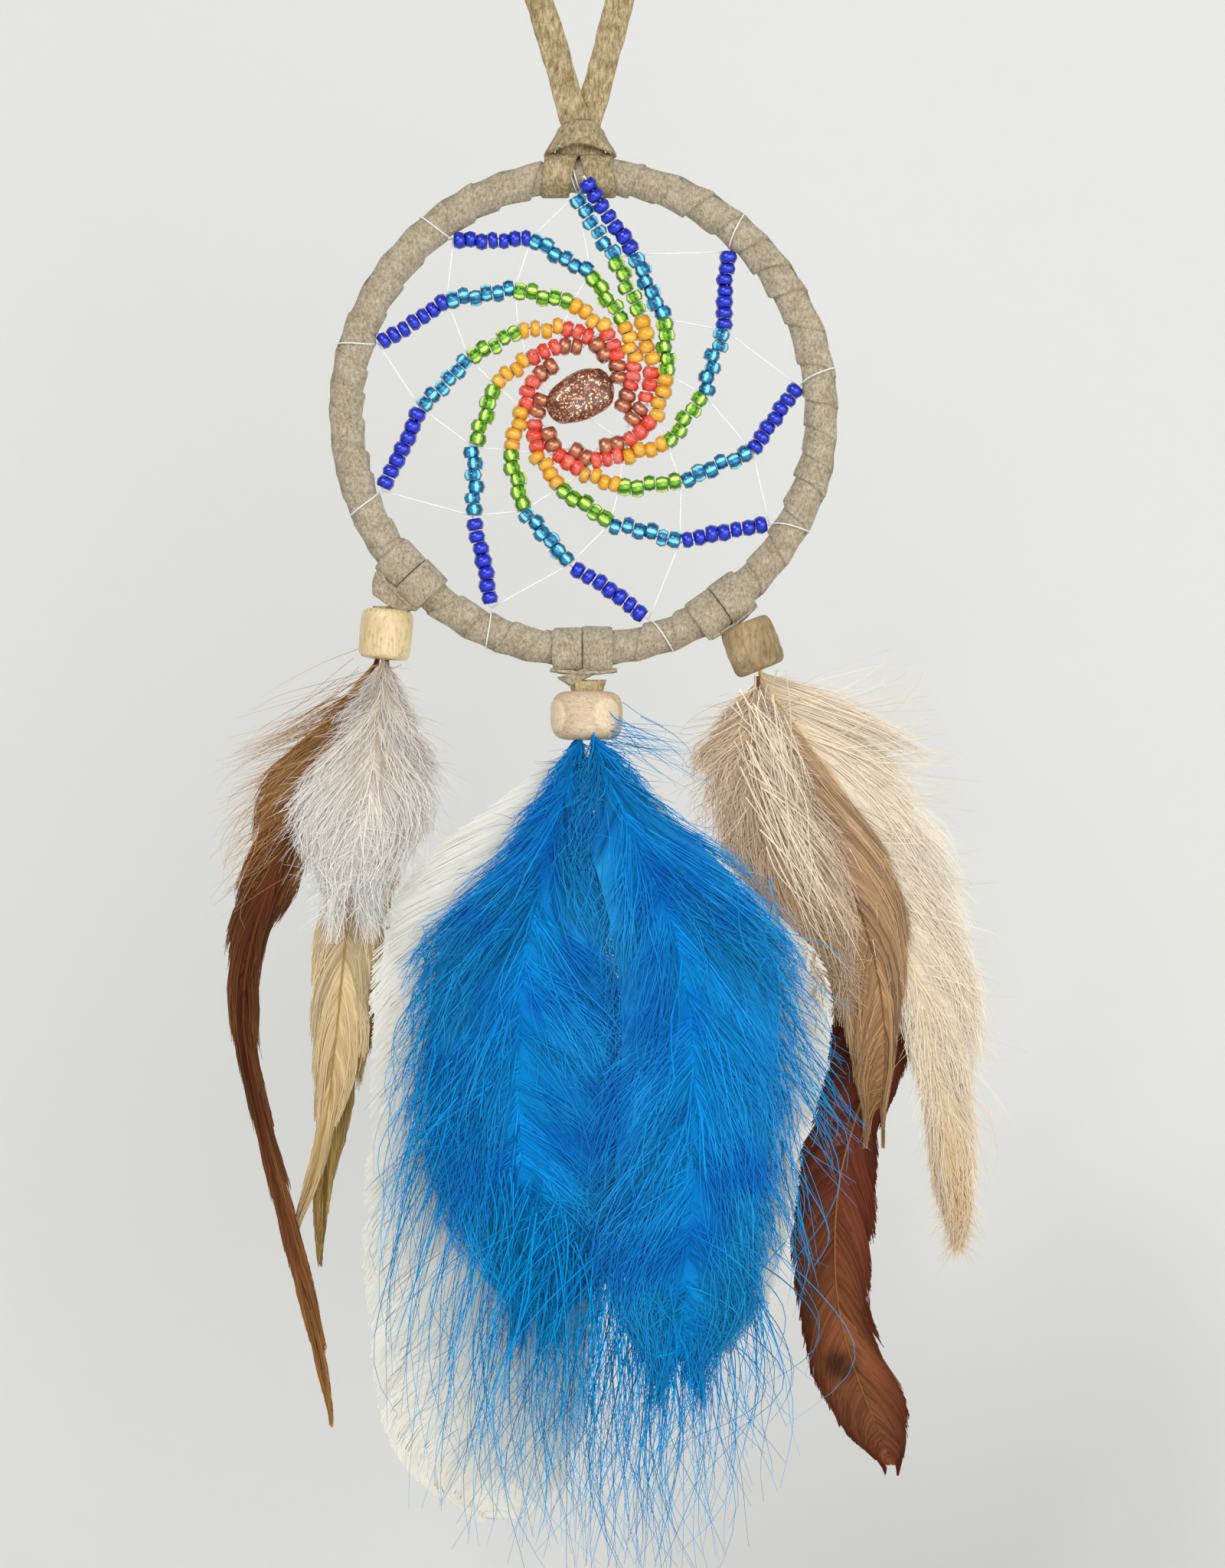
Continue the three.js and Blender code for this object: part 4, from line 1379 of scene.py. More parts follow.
@dataclass
class Feather:
    """One feather: a shaft and thousands of barbs that leave it on both sides and end along its outline.

    Each row of the outline is the height, then the x of the left edge, of the shaft and of the right edge.
    """

    name: str
    charm: str
    node: str
    slot: str
    finish: Barbs
    rows: Rows
    layer: float
    count: int
    drop: float
    root_r: float = 0.17
    tip_r: float = 0.05
    flat: float = 0.45
    bend: float = 1.6
    ragged: float = 0.14
    clump: float = 3.0
    gather: float = 0.5
    wave: float = 0.4
    loft: float = 1.0
    cup: float = 0.0
    joints: int = 6
    shaft_r: float = 0.42
    over: float = 2.0
    barbules: int = 0
    vane: float = 0.0
    stray: float = 0.12
    seed: int = 1
    outline_steps: int = 400
    soften: int = 27
    shaft_steps: int = 40
    blade_rows: int = 150
    blade_columns: int = 25
    blade_thick: float = 0.14

    def __post_init__(self) -> None:
        """Smooths the outline."""
        table = np.array(self.rows)[::-1]
        self.heights = np.linspace(table[0, 0], table[-1, 0], self.outline_steps)
        dense = np.stack([np.interp(self.heights, table[:, 0], table[:, k]) for k in (1, 2, 3)])
        kernel = np.hanning(self.soften)
        kernel /= kernel.sum()
        padded = np.pad(dense, ((0, 0), (self.soften // 2,) * 2), mode="reflect", reflect_type="odd")
        self.edges = np.stack([np.convolve(line, kernel, mode="valid") for line in padded])

    def across(self, column: int, z: Points) -> Points:
        """Reads one line of the outline.

        Args:
            column: 0 for the left edge, 1 for the shaft and 2 for the right edge.
            z: Heights.

        Returns:
            The x at each height.
        """
        return np.interp(z, self.heights, self.edges[column])

    def shaft(self, shell: Shell) -> None:
        """Adds the quill and the shaft.

        Args:
            shell: Where it goes.
        """
        top, foot = self.heights[-1], self.heights[0]
        z = np.linspace(top + 1.5, foot + 0.06 * (top - foot), self.shaft_steps)
        path = np.stack([self.across(1, z), np.full(len(z), self.layer - 0.2), z], axis=1)
        radius = self.shaft_r * np.linspace(1, 0.15, len(z))
        down = np.repeat((top - z) / (top - foot), 6).clip(0, 1)
        shell.tube(path, RIGHT, radius, radius, 6, down=down, reach=0.0, tint=0.6, shaft=1.0, lane=0.0)

    def barbs(self, shell: Shell) -> None:
        """Adds the barbs.

        Args:
            shell: Where they go.
        """
        spread = np.random.default_rng(self.seed)
        n, m = self.count, self.joints
        top, foot = self.heights[-1], self.heights[0]
        start = top - (top - foot) * (np.arange(n) + spread.random(n)) / n * 0.985
        side = np.where(spread.random(n) < 0.5, 0, 2)
        bunch = np.floor((start + spread.normal(0, 0.15, n)) / self.clump).astype(int)
        key = (bunch - bunch.min()) * 2 + (side > 0)
        lots = np.random.default_rng(self.seed + 7)
        bunch_end = lots.normal(0, 0.16, key.max() + 1)[key]
        bunch_far = lots.normal(0, 1, key.max() + 1)[key]
        bunch_tint = lots.random(key.max() + 1)[key]
        bunch_deep = lots.normal(0, 1, key.max() + 1)[key]
        tip = np.floor(start / self.clump) * self.clump + self.clump / 2
        near = np.minimum(1, 0.3 + (top - start) / 22)
        fall = self.drop * near * (1 + bunch_end + spread.normal(0, self.stray, n))
        fall = np.minimum(fall, (start - foot) * 1.0 + 1.2 + self.over)
        end = (start - fall) * (1 - self.gather) + (tip - self.drop * near * (1 + bunch_end)) * self.gather
        lowest = foot - self.over * np.clip(spread.normal(0.1, 0.55, n), -1.5, 1.1)
        end = np.minimum(np.maximum(end, lowest), start - 1.5)
        far = np.clip(1 - np.abs(spread.normal(0, self.ragged, n)) + self.ragged * 0.5 * bunch_far, 0.15, 1.15)
        u = np.linspace(0, 1, m)[None, :]
        z = start[:, None] + (end - start)[:, None] * u ** 1.12
        middle = self.across(1, z)
        edge = np.where(side[:, None] == 0, self.across(0, z), self.across(2, z))
        bend = self.bend * (1 + 2.2 * (self.stray - 0.1) * spread.uniform(-1, 1, n))[:, None]
        out = (1 - (1 - u) ** bend) * far[:, None]
        x = middle + (edge - middle) * out
        phase, speed = spread.random(n)[:, None], spread.uniform(0.5, 1.6, n)[:, None]
        x = x + self.wave * u * np.sin(2 * np.pi * (phase + speed * u)) * spread.uniform(0.3, 1, n)[:, None]
        depth = self.loft * (spread.normal(0, 0.35, n) + 0.35 * bunch_deep)[:, None] * (0.25 + u)
        y = self.layer + depth + self.cup * (out ** 2) + 0.3 * self.wave * u * np.cos(2 * np.pi * (phase + u))
        points = np.stack([x, y, z], axis=-1)
        radius = (self.root_r + (self.tip_r - self.root_r) * u ** 1.3) * spread.uniform(0.8, 1.2, n)[:, None]
        tint = np.clip(0.5 * spread.random(n) + 0.5 * bunch_tint, 0, 1)
        down = ((top - z) / (top - foot)).clip(0, 1)
        add_strands(shell, points, radius, self.flat, down, u, tint, start)
        if self.barbules:
            self.barbules_on(shell, points, down, spread)

    def barbules_on(self, shell: Shell, points: Points, down: Points, spread: np.random.Generator) -> None:
        """Adds short hairs along the barbs, which make down look soft.

        Args:
            shell: Where they go.
            points: The barbs, by points along them.
            down: How far down the feather each point is.
            spread: The source of the differences.
        """
        n, m, _ = points.shape
        k = self.barbules
        which, part = spread.integers(0, n, k), spread.integers(0, m - 1, k)
        share = spread.random(k)[:, None]
        root = points[which, part] * (1 - share) + points[which, part + 1] * share
        way = unit(points[which, part + 1] - points[which, part])
        beside = unit(np.cross(way, BACK))
        turn = np.radians(spread.uniform(18, 58, k))[:, None] * np.where(spread.random(k) < 0.5, -1, 1)[:, None]
        lean = way * np.cos(turn) + beside * np.sin(turn) + np.outer(spread.normal(-0.1, 0.25, k), (0, 1, 0))
        long = spread.uniform(1.6, 4.6, k)[:, None, None]
        v = np.linspace(0, 1, 4)[None, :, None]
        lines = root[:, None, :] + lean[:, None, :] * long * v + way[:, None, :] * long * 0.4 * v ** 2
        radius = 0.055 * (1 - 0.7 * v[..., 0]) * np.ones((k, 1))
        add_strands(shell, lines, radius, 0.8, down[which, part][:, None], 0.7 + 0.3 * v[..., 0],
                    spread.random(k), root[:, 2])

    def blade(self, shell: Shell) -> None:
        """Adds the closed vane that the barbs of a smooth feather lie on.

        Args:
            shell: Where it goes.
        """
        top, foot = self.heights[-1], self.heights[0]
        rows, columns = self.blade_rows, self.blade_columns
        z = np.linspace(top - 0.05 * (top - foot), foot + 0.6, rows)
        share = np.linspace(-1, 1, columns)
        lag = self.drop * 0.55 * (1 - (1 - np.abs(share)) ** 1.2)
        height = np.maximum(z[:, None] - lag[None, :], foot + 0.3)
        middle = self.across(1, height)
        edge = np.where(share[None, :] < 0, self.across(0, height), self.across(2, height))
        x = middle + (edge - middle) * np.abs(share)[None, :] * self.vane
        wave = 0.12 * np.sin(z[:, None] * 0.8 + share[None, :] * 2)
        front = self.layer + 0.1 + self.cup * share[None, :] ** 2 + wave
        if self.barbules:
            x = middle + (x - middle) * np.clip((height - foot) / (0.3 * (top - foot)), 0.05, 1) ** 0.5
            front = front - 0.35
        both = np.stack([np.stack([x, y, height], -1) for y in (front, front + self.blade_thick)])
        sheet = grid_faces(rows, columns).reshape(rows - 1, columns, 4)[:, :-1].reshape(-1, 4)
        corner = np.arange(rows * columns).reshape(rows, columns)
        rim = np.concatenate([corner[0], corner[1:, -1], corner[-1, -2::-1], corner[-2:0:-1, 0]])
        after, count = np.roll(rim, -1), x.size
        faces = [sheet[:, ::-1], sheet + count, np.stack([rim, after, after + count, rim + count], 1)]
        down = np.tile(((top - height) / (top - foot)).reshape(-1), 2).clip(0, 1)
        reach = np.tile(np.broadcast_to(np.abs(share), x.shape).reshape(-1), 2)
        streaks, tint = (0.2, 0.52) if self.barbules else (1.0, 0.66)
        lane = np.tile(np.broadcast_to(z[:, None] * streaks, x.shape).reshape(-1), 2)
        shell.add(both, faces, down=down, reach=reach, tint=tint, shaft=0.0, lane=lane)

    def build(self) -> None:
        """Builds the feather in one piece."""
        shell = Shell()
        self.shaft(shell)
        if self.vane:
            self.blade(shell)
        self.barbs(shell)
        dressed(shell.build(self.name, False), f"{self.charm}_charm", self.slot, self.finish, self.node)


def add_strands(shell: Shell, points: Points, radius: Points, flat: float, down: Points, reach: Points,
                tint: Points, lane: Points) -> None:
    """Adds fine three-sided tapering strands to a shell.

    Args:
        shell: Where they go.
        points: Strands by points along them, by x, y and z.
        radius: The strand's half width at each point.
        flat: How thick it is for its width.
        down: How far down the feather each point is.
        reach: How far along its strand each point is.
        tint: A shade for each strand.
        lane: Where each strand starts, which streaks run by.
    """
    n, m, _ = points.shape
    tangent = unit(np.gradient(points, axis=1))
    wide = unit(np.cross(tangent, BACK) + (1e-6, 0, 0))
    thick = np.cross(wide, tangent)
    turn = np.radians((210, 330, 90))
    c, s = np.cos(turn)[:, None], np.sin(turn)[:, None] * flat
    ring = wide[:, :, None, :] * c + thick[:, :, None, :] * s
    rings = points[:, :, None, :] + radius[..., None, None] * ring
    base = (np.arange(n) * m * 3)[:, None, None]
    k = (np.arange(m - 1) * 3)[None, :, None]
    j = np.arange(3)[None, None, :]
    a, b = base + k + j, base + k + (j + 1) % 3
    quads = np.stack([a, a + 3, b + 3, b], axis=-1).reshape(-1, 4)
    first = base[:, 0, 0]
    caps = np.concatenate([np.stack([first, first + 1, first + 2], 1),
                           np.stack([first + 3 * m - 1, first + 3 * m - 2, first + 3 * m - 3], 1)])
    marks = {"down": down, "reach": reach, "tint": tint[:, None], "lane": lane[:, None],
             "shaft": np.zeros((1, 1))}
    filled = {key: np.repeat(np.broadcast_to(v, (n, m)).reshape(-1), 3) for key, v in marks.items()}
    shell.add(rings, [quads, caps], **filled)


@dataclass
class Wisps:
    """Long loose hairs that stray from a plume."""

    name: str
    charm: str
    slot: str
    finish: Barbs
    roots: Rows
    ends: Rows
    layer: float
    count: int
    curl: float
    seed: int
    radius: float
    joints: int = 12
    scatter: float = 2.2

    def build(self) -> None:
        """Draws each hair from a root to an end, with its own curl."""
        spread = np.random.default_rng(self.seed)
        n = self.count
        u = np.linspace(0, 1, self.joints)[None, :]
        pick = spread.random(n)
        lines = []
        for table in (self.roots, self.ends):
            line = np.array(table)
            at = np.linspace(0, 1, len(line))
            chosen = np.stack([np.interp(pick, at, line[:, k]) for k in (0, 1)], 1)
            lines.append(chosen + spread.normal(0, self.scatter, (n, 2)))
        start, end = lines
        end[:, 1] = start[:, 1] + (end[:, 1] - start[:, 1]) * spread.uniform(0.45, 1.0, n)
        flow = start[:, None, :] + (end - start)[:, None, :] * u[..., None]
        bend = self.curl * spread.normal(0, 1, n)[:, None] * np.sin(np.pi * u)
        ripple = 0.35 * self.curl * spread.normal(0, 1, n)[:, None]
        ripple = ripple * np.sin(2.3 * np.pi * u + spread.random(n)[:, None] * 6)
        x = flow[..., 0] + bend + ripple * u
        y = self.layer + spread.normal(0, 1.6, n)[:, None] * (0.4 + u)
        y = y + spread.normal(0, 1.2, n)[:, None] * u ** 2
        points = np.stack([x, y, flow[..., 1]], axis=-1)
        radius = self.radius * (1 - 0.75 * u) * spread.uniform(0.7, 1.2, n)[:, None]
        shell = Shell()
        add_strands(shell, points, radius, 0.8, u, u, spread.random(n), start[:, 1])
        dressed(shell.build(self.name, False), f"{self.charm}_charm", self.slot, self.finish)


# Blue plume: the cloud colour paints shade in patches; the lighter edge colour at the barbs' ends is partly
# paler tips and partly painted highlight.
BLUE = Barbs(
    "blue_barbs", down_it=(
        (0.0, "0080d2"), (0.3, "0098ee"), (0.7, "009cf4"), (1.0, "00a4ee")),
    edge="38bcff", edge_share=0.55, shaft="0a90e2", varies=0.40, soft=0.0, cloud="0058bc")
BLUE_HAIR = Barbs(
    "blue_hairs", down_it=((0.0, "0096e4"), (1.0, "00a6e6")), edge="20b4f4", edge_share=0.3, shaft="0a88e2",
    varies=0.3, soft=0.0)
WHITE = Barbs(
    "white_barbs", down_it=((0.0, "f3f1e8"), (0.5, "efede1"), (1.0, "eee9da")), edge="f8f6ee", edge_share=0.3,
    shaft="f4eedb", varies=0.07, soft=0.1)
BROWN = Barbs(
    "brown_barbs", down_it=(
        (0.0, "e2b074"), (0.15, "cf9654"), (0.23, "8a5230"), (0.34, "5c2c1a"), (0.6, "582a1a"),
        (0.8, "8a5430"), (1.0, "be8c4e")),
    edge="b98350", edge_share=0.35, shaft="6b3818", varies=0.4, soft=0.06)
GOLDEN = Barbs(
    "golden_barbs", down_it=((0.0, "b9834c"), (0.5, "c8955c"), (1.0, "ddb27c")), edge="e8c898",
    edge_share=0.4, shaft="a8743c", varies=0.4, soft=0.05)
CREAM = Barbs(
    "cream_barbs", down_it=(
        (0.0, "ecd4a8"), (0.45, "efd6a8"), (0.8, "e0bf84"), (1.0, "bf9a5e")),
    edge="fae8c6", edge_share=0.4, shaft="b0884f", varies=0.28, soft=0.06)
OLIVE = Barbs(
    "olive_barbs", down_it=((0.0, "cbab74"), (0.6, "c29d5c"), (1.0, "a38142")), edge="dcc28e", edge_share=0.3,
    shaft="7d5f30", varies=0.4, soft=0.06)
DOWN = Barbs(
    "white_down", down_it=(
        (0.0, "d4c0aa"), (0.35, "ecdfd0"), (0.7, "fbf3e8"), (1.0, "fffaf2")),
    edge="fffdf8", edge_share=0.6, shaft="c4b098", varies=0.25, soft=0.06)
TAN = Barbs(
    "tan_down", down_it=(
        (0.0, "f2d8b6"), (0.4, "eccda8"), (0.8, "dcb68c"), (1.0, "c69b6c")),
    edge="fff4e2", edge_share=0.4, shaft="f0d8b8", varies=0.34, soft=0.04)
STRIPED = Barbs(
    "striped_barbs", down_it=(
        (0.0, "dcbb92"), (0.5, "cfa47c"), (0.8, "c4966a"), (1.0, "94663c")),
    edge="e4c59c", edge_share=0.35, shaft="7c5a3c", varies=0.4, soft=0.08)
PALE = Barbs(
    "pale_cream_barbs", down_it=(
        (0.0, "ffebcc"), (0.35, "fff0d8"), (0.7, "ffe9c6"), (0.88, "f6d8a6"), (1.0, "dcae6a")),
    edge="fffaee", edge_share=0.5, shaft="e6c490", varies=0.16, soft=0.06)
MAHOGANY = Barbs(
    "mahogany_barbs", down_it=(
        (0.0, "94604a"), (0.4, "7c3c2a"), (0.64, "7a3e2a"), (0.78, "925836"), (0.94, "965c3a"),
        (1.0, "84482f")),
    edge="5c281a", edge_share=0.95, shaft="9a6a40", varies=0.35, soft=0.04, spot=(46.0, 5.5, -170.0, 3.2))


class Feathers:
    """Every feather on the three charms."""

    def left(self) -> list[Feather]:
        """Returns the hackles and the fluff of the left charm."""
        return [
            Feather(
                "brown_hackle", "left", "left_brown_hackle", "brown_feather", BROWN, rows=(
                    (-43, -36.8, -36.3, -35.8), (-50, -42.6, -39.8, -37.8), (-56, -49, -42.8, -40),
                    (-62, -55.5, -46, -42.6), (-67, -58.5, -48.6, -44.4), (-72, -58.8, -51, -46),
                    (-76, -59.2, -52.5, -47.6), (-84, -61.5, -56, -50.5), (-92, -63.2, -58.8, -56),
                    (-100, -63.8, -60.4, -57.6), (-108, -63, -60.8, -58.4), (-114, -61.8, -60, -58),
                    (-121, -60, -58.6, -56.6), (-129, -58, -57, -55), (-137, -56, -54.8, -52.8),
                    (-147, -53.4, -52.2, -50.2), (-156, -51, -49.8, -48), (-165, -48.6, -47.6, -46.3),
                    (-172, -46.8, -46.2, -45.4), (-178, -45.1, -45, -44.9)),
                layer=3.2, count=3600, drop=19.0, root_r=0.17, tip_r=0.04, seed=11, clump=3.4, gather=0.5,
                ragged=0.2, wave=0.35, loft=0.8, vane=0.85),
            Feather(
                "cream_hackle", "left", "left_cream_hackle", "cream_feather", CREAM, rows=(
                    (-44, -36.3, -35.7, -35.2), (-55, -40, -37.5, -34.5), (-66, -43.5, -39.2, -33.6),
                    (-76, -46, -40.6, -33.2), (-84, -47, -41.6, -33.6), (-90, -47.8, -42.2, -35.6),
                    (-98, -48.3, -43, -37.2), (-106, -48.4, -43.8, -38.4), (-114, -48.3, -44.6, -39.6),
                    (-121, -48, -45.4, -42), (-127, -47.9, -46.2, -44.6), (-133, -48.8, -47.6, -46),
                    (-139, -50.3, -49.4, -48.4), (-145, -51.8, -51.6, -51.3)),
                layer=4.7, count=3200, drop=17.0, root_r=0.17, tip_r=0.045, seed=12, clump=4.2, gather=0.55,
                ragged=0.16, loft=0.7, vane=0.85),
            Feather(
                "olive_hackle", "left", "left_olive_hackle", "cream_feather", OLIVE, rows=(
                    (-44, -35.8, -35.2, -34.6), (-60, -38, -36.5, -33.5), (-75, -41, -38.4, -33.8),
                    (-90, -43.5, -40.2, -35), (-105, -46, -42.2, -37.2), (-115, -47.4, -43.8, -38.8),
                    (-122, -47.8, -44.8, -40.8), (-129, -47.8, -45.6, -42.6), (-136, -48.2, -46.6, -45),
                    (-143, -48.4, -47.2, -46.1), (-150, -47.6, -47.4, -47.2)),
                layer=6.3, count=2200, drop=18.0, root_r=0.17, tip_r=0.045, seed=13, clump=3.6, gather=0.6,
                ragged=0.12, loft=0.6),
            Feather(
                "left_fluff", "left", "left_white_fluff", "white_down", DOWN, rows=(
                    (-43.5, -36.2, -35.4, -34.4), (-48, -38.6, -35.6, -32.6), (-53, -42.2, -36, -30),
                    (-58, -45.6, -36.6, -27.6), (-64, -48.8, -37.4, -26.2), (-69, -50.6, -38.2, -25.8),
                    (-74, -51.4, -39.2, -27.5), (-79, -49, -40.2, -31.5), (-84, -45.5, -41, -36)),
                layer=-0.4, count=3900, drop=17.0, root_r=0.13, tip_r=0.035, flat=0.35, bend=1.35, ragged=0.3,
                clump=1.7, gather=0.35, wave=1.4, loft=2.0, over=9.0, barbules=2600, vane=0.5, stray=0.24,
                seed=14)]

    def centre(self) -> list[Feather]:
        """Returns the white and the blue feathers of the middle charm."""
        return [
            Feather(
                "white_blunt_left", "centre", "white_feather_left", "white_feather", WHITE, rows=(
                    (-58, -2, -0.6, 0.6), (-63, -8, -2, 2), (-70, -17, -5, 4), (-76, -26, -8, 5),
                    (-84, -33, -11, 6), (-92, -37, -13, 6), (-105, -38, -15, 6), (-120, -38.4, -16, 5),
                    (-135, -39.4, -16.8, 4), (-146, -40.2, -17.2, 3.5), (-158, -38.6, -17, 3),
                    (-170, -37.9, -16.6, 2), (-180, -36, -16, 0.5), (-187, -32.5, -15.6, -1.5),
                    (-192, -27.5, -15.2, -5), (-196.5, -18, -15, -9.5)),
                layer=1.6, count=2400, drop=15.0, root_r=0.2, tip_r=0.09, flat=0.25, bend=1.3, ragged=0.03,
                clump=9.0, gather=0.08, wave=0.08, loft=0.12, cup=1.2, over=0.6, vane=0.9, seed=21),
            Feather(
                "white_blunt_right", "centre", "white_feather_right", "white_feather", WHITE, rows=(
                    (-58, 0.6, 1.6, 2.6), (-66, 3, 6, 10), (-76, 6, 12, 20), (-86, 8, 18, 31),
                    (-92, 9, 20.5, 38), (-97, 9, 21.5, 42.4), (-103, 9, 22, 43.9), (-109, 9, 22, 44.3),
                    (-115, 9, 22, 43.4), (-122, 9, 21.6, 41.4), (-130, 9, 21, 38.6), (-142, 9, 19.6, 37.2),
                    (-150, 9, 18.4, 35), (-158, 9, 17, 32.4), (-166, 12, 16, 26)),
                layer=0.0, count=2000, drop=14.0, root_r=0.2, tip_r=0.09, flat=0.25, bend=1.3, ragged=0.03,
                clump=8.0, gather=0.08, wave=0.08, loft=0.12, cup=-0.8, over=0.6, vane=0.9, seed=22),
            Feather(
                "blue_plume_left", "centre", "blue_feather_left", "blue_feather", BLUE, rows=(
                    (-57, -2.2, -0.4, 0.6), (-59.5, -3.6, -1, 1), (-62, -5, -1.6, 1.4), (-67, -8.6, -3, 1.6),
                    (-72, -11.6, -4.4, 1.4), (-78, -14.6, -6, 2.4), (-84, -21, -7.6, 4), (-90, -26, -9, 5.6),
                    (-97, -29, -10.2, 7), (-104, -30.2, -11, 8.4), (-112, -30.8, -11.4, 9.4),
                    (-120, -31, -11.4, 10), (-127, -30.4, -11.2, 10), (-134, -28, -10.8, 10),
                    (-142, -25, -10.2, 9), (-150, -19, -9.4, 5), (-158, -12, -8.6, -4)),
                layer=-2.8, count=3600, drop=22.0, root_r=0.17, tip_r=0.04, flat=0.3, bend=1.4, ragged=0.3,
                clump=2.6, gather=0.3, wave=1.8, loft=2.4, shaft_r=0.2, over=9.0, barbules=2700, vane=0.82,
                stray=0.3, seed=31),
            Feather(
                "blue_plume_right", "centre", "blue_feather_right", "blue_feather", BLUE, rows=(
                    (-57, -0.4, 1.6, 4.6), (-59.5, -0.4, 2.4, 6.4), (-62, -0.4, 3.4, 8.4),
                    (-67, -0.6, 5.4, 12), (-72, -1, 7.6, 17), (-78, -0.4, 10.2, 25), (-84, 1, 13, 30.4),
                    (-90, 2.4, 15.4, 35), (-97, 3.4, 17.4, 37.4), (-104, 4, 18.6, 37.6), (-112, 4, 19.2, 37),
                    (-120, 3.6, 19.4, 36), (-127, 3, 19.4, 35.4), (-134, 2.4, 19.2, 35),
                    (-142, 2, 18.8, 34.6), (-150, 2, 18.2, 33.8), (-158, 4.4, 17.6, 29.6),
                    (-167, 12, 16.8, 21)),
                layer=-5.4, count=3600, drop=22.0, root_r=0.17, tip_r=0.04, flat=0.3, bend=1.4, ragged=0.3,
                clump=2.6, gather=0.3, wave=1.8, loft=2.4, shaft_r=0.2, over=9.0, barbules=2700, vane=0.82,
                stray=0.3, seed=32)]

    def right(self) -> list[Feather]:
        """Returns the feathers of the right charm."""
        return [
            Feather(
                "tan_fluff", "right", "right_tan_fluff", "tan_down", TAN, rows=(
                    (-48, 29.6, 30.4, 31.2), (-52, 25, 30, 34), (-57, 21.5, 30, 37), (-63, 20.5, 30.6, 39),
                    (-69, 21.5, 31.8, 41.5), (-75, 23.6, 33.6, 44), (-81, 27.5, 35.8, 46),
                    (-87, 32.5, 38.2, 47), (-93, 37, 40.6, 47.5), (-100, 40.5, 43, 47)),
                layer=1.2, count=3900, drop=15.0, root_r=0.13, tip_r=0.035, flat=0.35, bend=1.35, ragged=0.3,
                clump=1.8, gather=0.35, wave=1.3, loft=2.0, shaft_r=0.25, over=9.0, barbules=2600, vane=0.7,
                stray=0.28, seed=41),
            Feather(
                "striped_vane", "right", "right_striped_feather", "striped_feather", STRIPED, rows=(
                    (-48, 30.4, 31, 31.6), (-56, 33, 34.6, 37.5), (-64, 36, 38.6, 44), (-72, 39, 42.4, 50),
                    (-80, 41.5, 46, 55), (-88, 43.4, 49.2, 57.4), (-96, 44.6, 51.6, 57.8),
                    (-103, 45.4, 53, 57), (-110, 46.4, 53.6, 56), (-117, 48, 53.6, 55),
                    (-124, 50, 52.6, 53.4)),
                layer=3.4, count=3000, drop=22.0, root_r=0.17, tip_r=0.05, clump=4.0, gather=0.4, ragged=0.14,
                wave=0.3, loft=0.6, over=6.0, vane=0.9, seed=42),
            Feather(
                "pale_feather", "right", "right_cream_feather", "cream_feather", PALE, rows=(
                    (-45.5, 30.4, 31.2, 33), (-48, 30.5, 32.4, 46), (-51, 31.5, 34.6, 51),
                    (-55, 33, 37.6, 56), (-60, 35.5, 41.4, 60), (-66, 39, 45.4, 62), (-72, 42, 48.6, 63),
                    (-80, 45.5, 52.4, 65.5), (-88, 49, 55.4, 68), (-96, 52.5, 58, 70),
                    (-104, 55.5, 60.2, 70.6), (-112, 58, 62, 70), (-120, 60.4, 63.6, 69),
                    (-128, 61.6, 64.8, 69.4), (-136, 62.6, 65.8, 69.6), (-142, 64.2, 66.4, 68.8),
                    (-146.5, 66.4, 66.9, 67.4)),
                layer=5.4, count=3900, drop=18.0, root_r=0.14, tip_r=0.035, flat=0.35, bend=1.4, ragged=0.28,
                clump=2.0, gather=0.35, wave=1.3, loft=1.8, over=3.0, barbules=2700, vane=0.6, stray=0.22,
                seed=43),
            Feather(
                "mahogany_feather", "right", "right_mahogany_feather", "mahogany_feather", MAHOGANY, rows=(
                    (-48, 30, 30.8, 31.6), (-60, 33.5, 35, 37.5), (-72, 37.5, 40.4, 45), (-84, 41, 45.6, 52),
                    (-94, 43.2, 49.4, 57), (-103, 44.4, 51.6, 60), (-111, 44.4, 52.2, 60.2),
                    (-120, 42.6, 50.6, 56.8), (-128, 40.4, 48, 53), (-135, 37.8, 46, 52.6),
                    (-144, 37.3, 45, 52.2), (-154, 37.5, 45, 51.5), (-161, 38.5, 45.8, 51),
                    (-168, 40, 47.6, 54), (-175, 42.2, 50, 57), (-181, 45.6, 52.6, 58.4),
                    (-184.5, 49, 54, 58.6), (-187, 52.4, 55, 57.6), (-188.3, 54, 55.2, 56.4)),
                layer=7.0, count=3600, drop=14.0, root_r=0.2, tip_r=0.07, flat=0.35, bend=1.35, ragged=0.06,
                clump=5.0, gather=0.2, wave=0.15, loft=0.25, cup=0.8, over=1.5, vane=0.9, seed=44)]

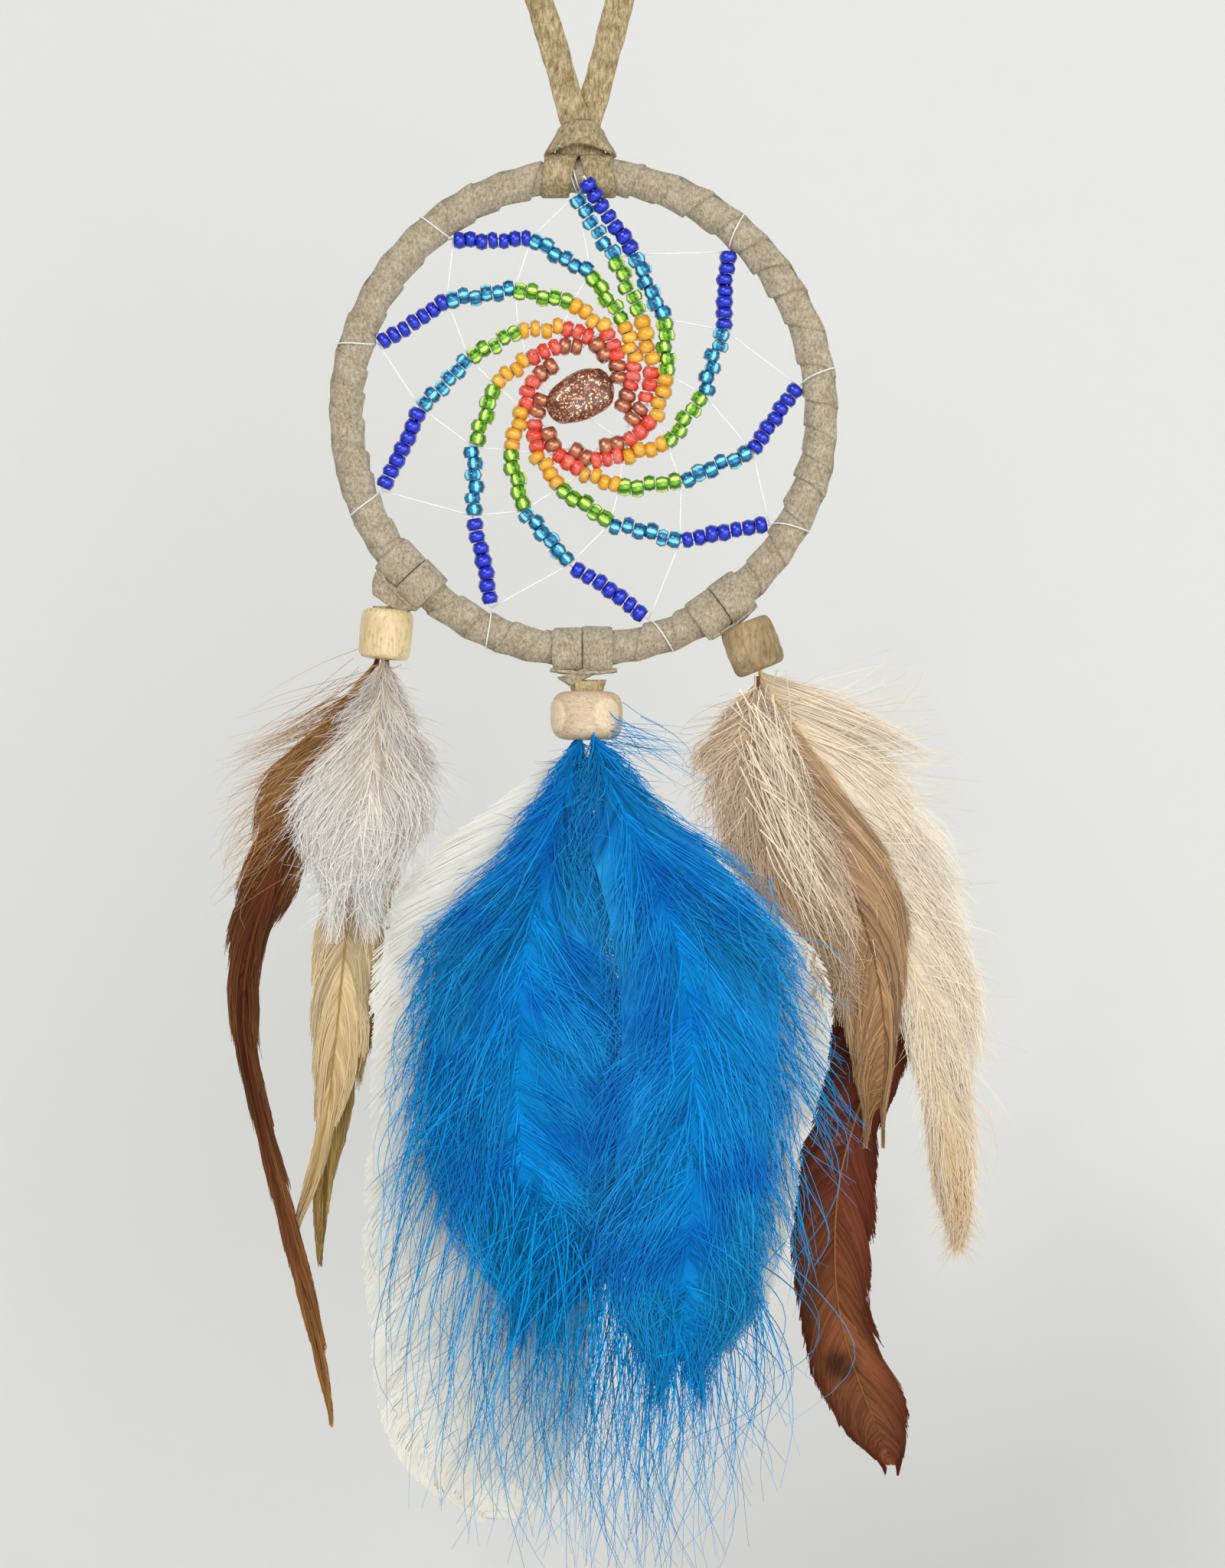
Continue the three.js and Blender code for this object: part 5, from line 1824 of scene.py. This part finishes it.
    def wisps(self) -> list[Wisps]:
        """Returns the stray hairs."""
        return [
            Wisps(
                "blue_wisps", "centre", "blue_feather", BLUE_HAIR, roots=(
                    (-24, -112), (-16, -132), (-4, -142), (10, -150), (22, -154), (30, -146)),
                ends=(
                    (-36, -172), (-26, -196), (-8, -206), (8, -209), (22, -208), (36, -186)),
                layer=-4.2, count=300, curl=5.0, seed=61, radius=0.13),
            Wisps(
                "blue_low_wisps", "centre", "blue_feather", BLUE_HAIR,
                roots=((-8, -140), (4, -150), (16, -156)), ends=((-20, -190), (0, -209), (16, -205)),
                layer=-5.6, count=170, curl=6.5, seed=69, radius=0.13),
            Wisps(
                "blue_side_wisps", "centre", "blue_feather", BLUE_HAIR,
                roots=((-24, -92), (-28, -110), (-24, -130)), ends=((-31, -116), (-33, -144), (-30, -168)),
                layer=-3.4, count=90, curl=2.4, seed=62, radius=0.12),
            Wisps(
                "blue_right_wisps", "centre", "blue_feather", BLUE_HAIR,
                roots=((30, -86), (34, -108), (32, -132)), ends=((41, -104), (47, -134), (36, -164)),
                layer=-5.0, count=110, curl=2.4, seed=63, radius=0.12),
            Wisps(
                "blue_collar_wisps", "centre", "blue_feather", BLUE_HAIR,
                roots=((1, -57), (3, -57), (5, -57)), ends=((12, -60), (19, -58), (18, -70)), layer=-4.0,
                count=34, curl=1.6, seed=64, radius=0.08),
            Wisps(
                "white_streak", "right", "tan_down", PALE, roots=((31, -50), (33, -62), (36, -74)),
                ends=((35, -70), (40, -86), (45, -100)), layer=-0.2, count=240, curl=1.0, seed=70,
                radius=0.13),
            Wisps(
                "golden_wisps", "left", "brown_feather", GOLDEN,
                roots=((-37.5, -46), (-42, -54), (-50, -66), (-56, -78)),
                ends=((-56, -60), (-62, -66), (-62, -78), (-63, -92)), layer=2.6, count=260, curl=1.6,
                seed=68, radius=0.06),
            Wisps(
                "left_wisps", "left", "white_down", DOWN, roots=((-40, -58), (-37, -60), (-34, -60)),
                ends=((-56, -80), (-38, -92), (-20, -74)), layer=0.2, count=160, curl=1.8, seed=65,
                radius=0.06),
            Wisps(
                "right_wisps", "right", "tan_down", STRIPED, roots=((31, -52), (32, -60), (36, -70)),
                ends=((20, -58), (20, -76), (29, -94)), layer=1.6, count=150, curl=2.4, seed=66, radius=0.055),
            Wisps(
                "pale_wisps", "right", "cream_feather", PALE,
                roots=((38, -50), (52, -66), (60, -96), (64, -120)),
                ends=((54, -40), (64, -58), (69, -84), (74, -112), (72, -140)), layer=5.0, count=240,
                curl=2.4, seed=67, radius=0.07)]

    def build(self) -> None:
        """Builds them all."""
        for feather in self.left() + self.centre() + self.right():
            feather.build()
        for wisp in self.wisps():
            wisp.build()


def main() -> None:
    """Builds the dream catcher, piece by piece."""
    logging.basicConfig(level=logging.INFO, format="%(name)s: %(message)s")
    noise.seed_set(NOISE_SEED)
    setting = Setting()
    setting.camera()
    Hanger().build()
    setting.sweep()
    setting.lights()
    Hoop().build()
    CharmKnot("left", angle=223.5, bead_top=(-34.9, -33.9), seed=1.0).build()
    CharmKnot("centre", angle=270.0, bead_top=(0.6, -46.9), seed=2.0, folded_end=True).build()
    CharmKnot("right", angle=305.5, bead_top=(26.9, -36.8), seed=3.0).build()
    Web().build()
    Stone().build()
    WoodBead(
        "left", middle=(-35.0, -39.2), radius=4.65, tall=8.8, bore=2.3, lean=-5.0, surface=Surface.POLISHED,
        finish=PALE_WOOD).build()
    WoodBead(
        "centre", middle=(0.6, -53.6), radius=6.3, tall=8.6, bore=2.6, lean=0.0, surface=Surface.PLUGGED,
        finish=RAW_WOOD).build()
    WoodBead(
        "right", middle=(29.9, -41.3), radius=4.65, tall=8.9, bore=2.3, lean=22.0, surface=Surface.GROOVED,
        finish=ROUGH_WOOD).build()
    Feathers().build()


if __name__ == "__main__":
    main()
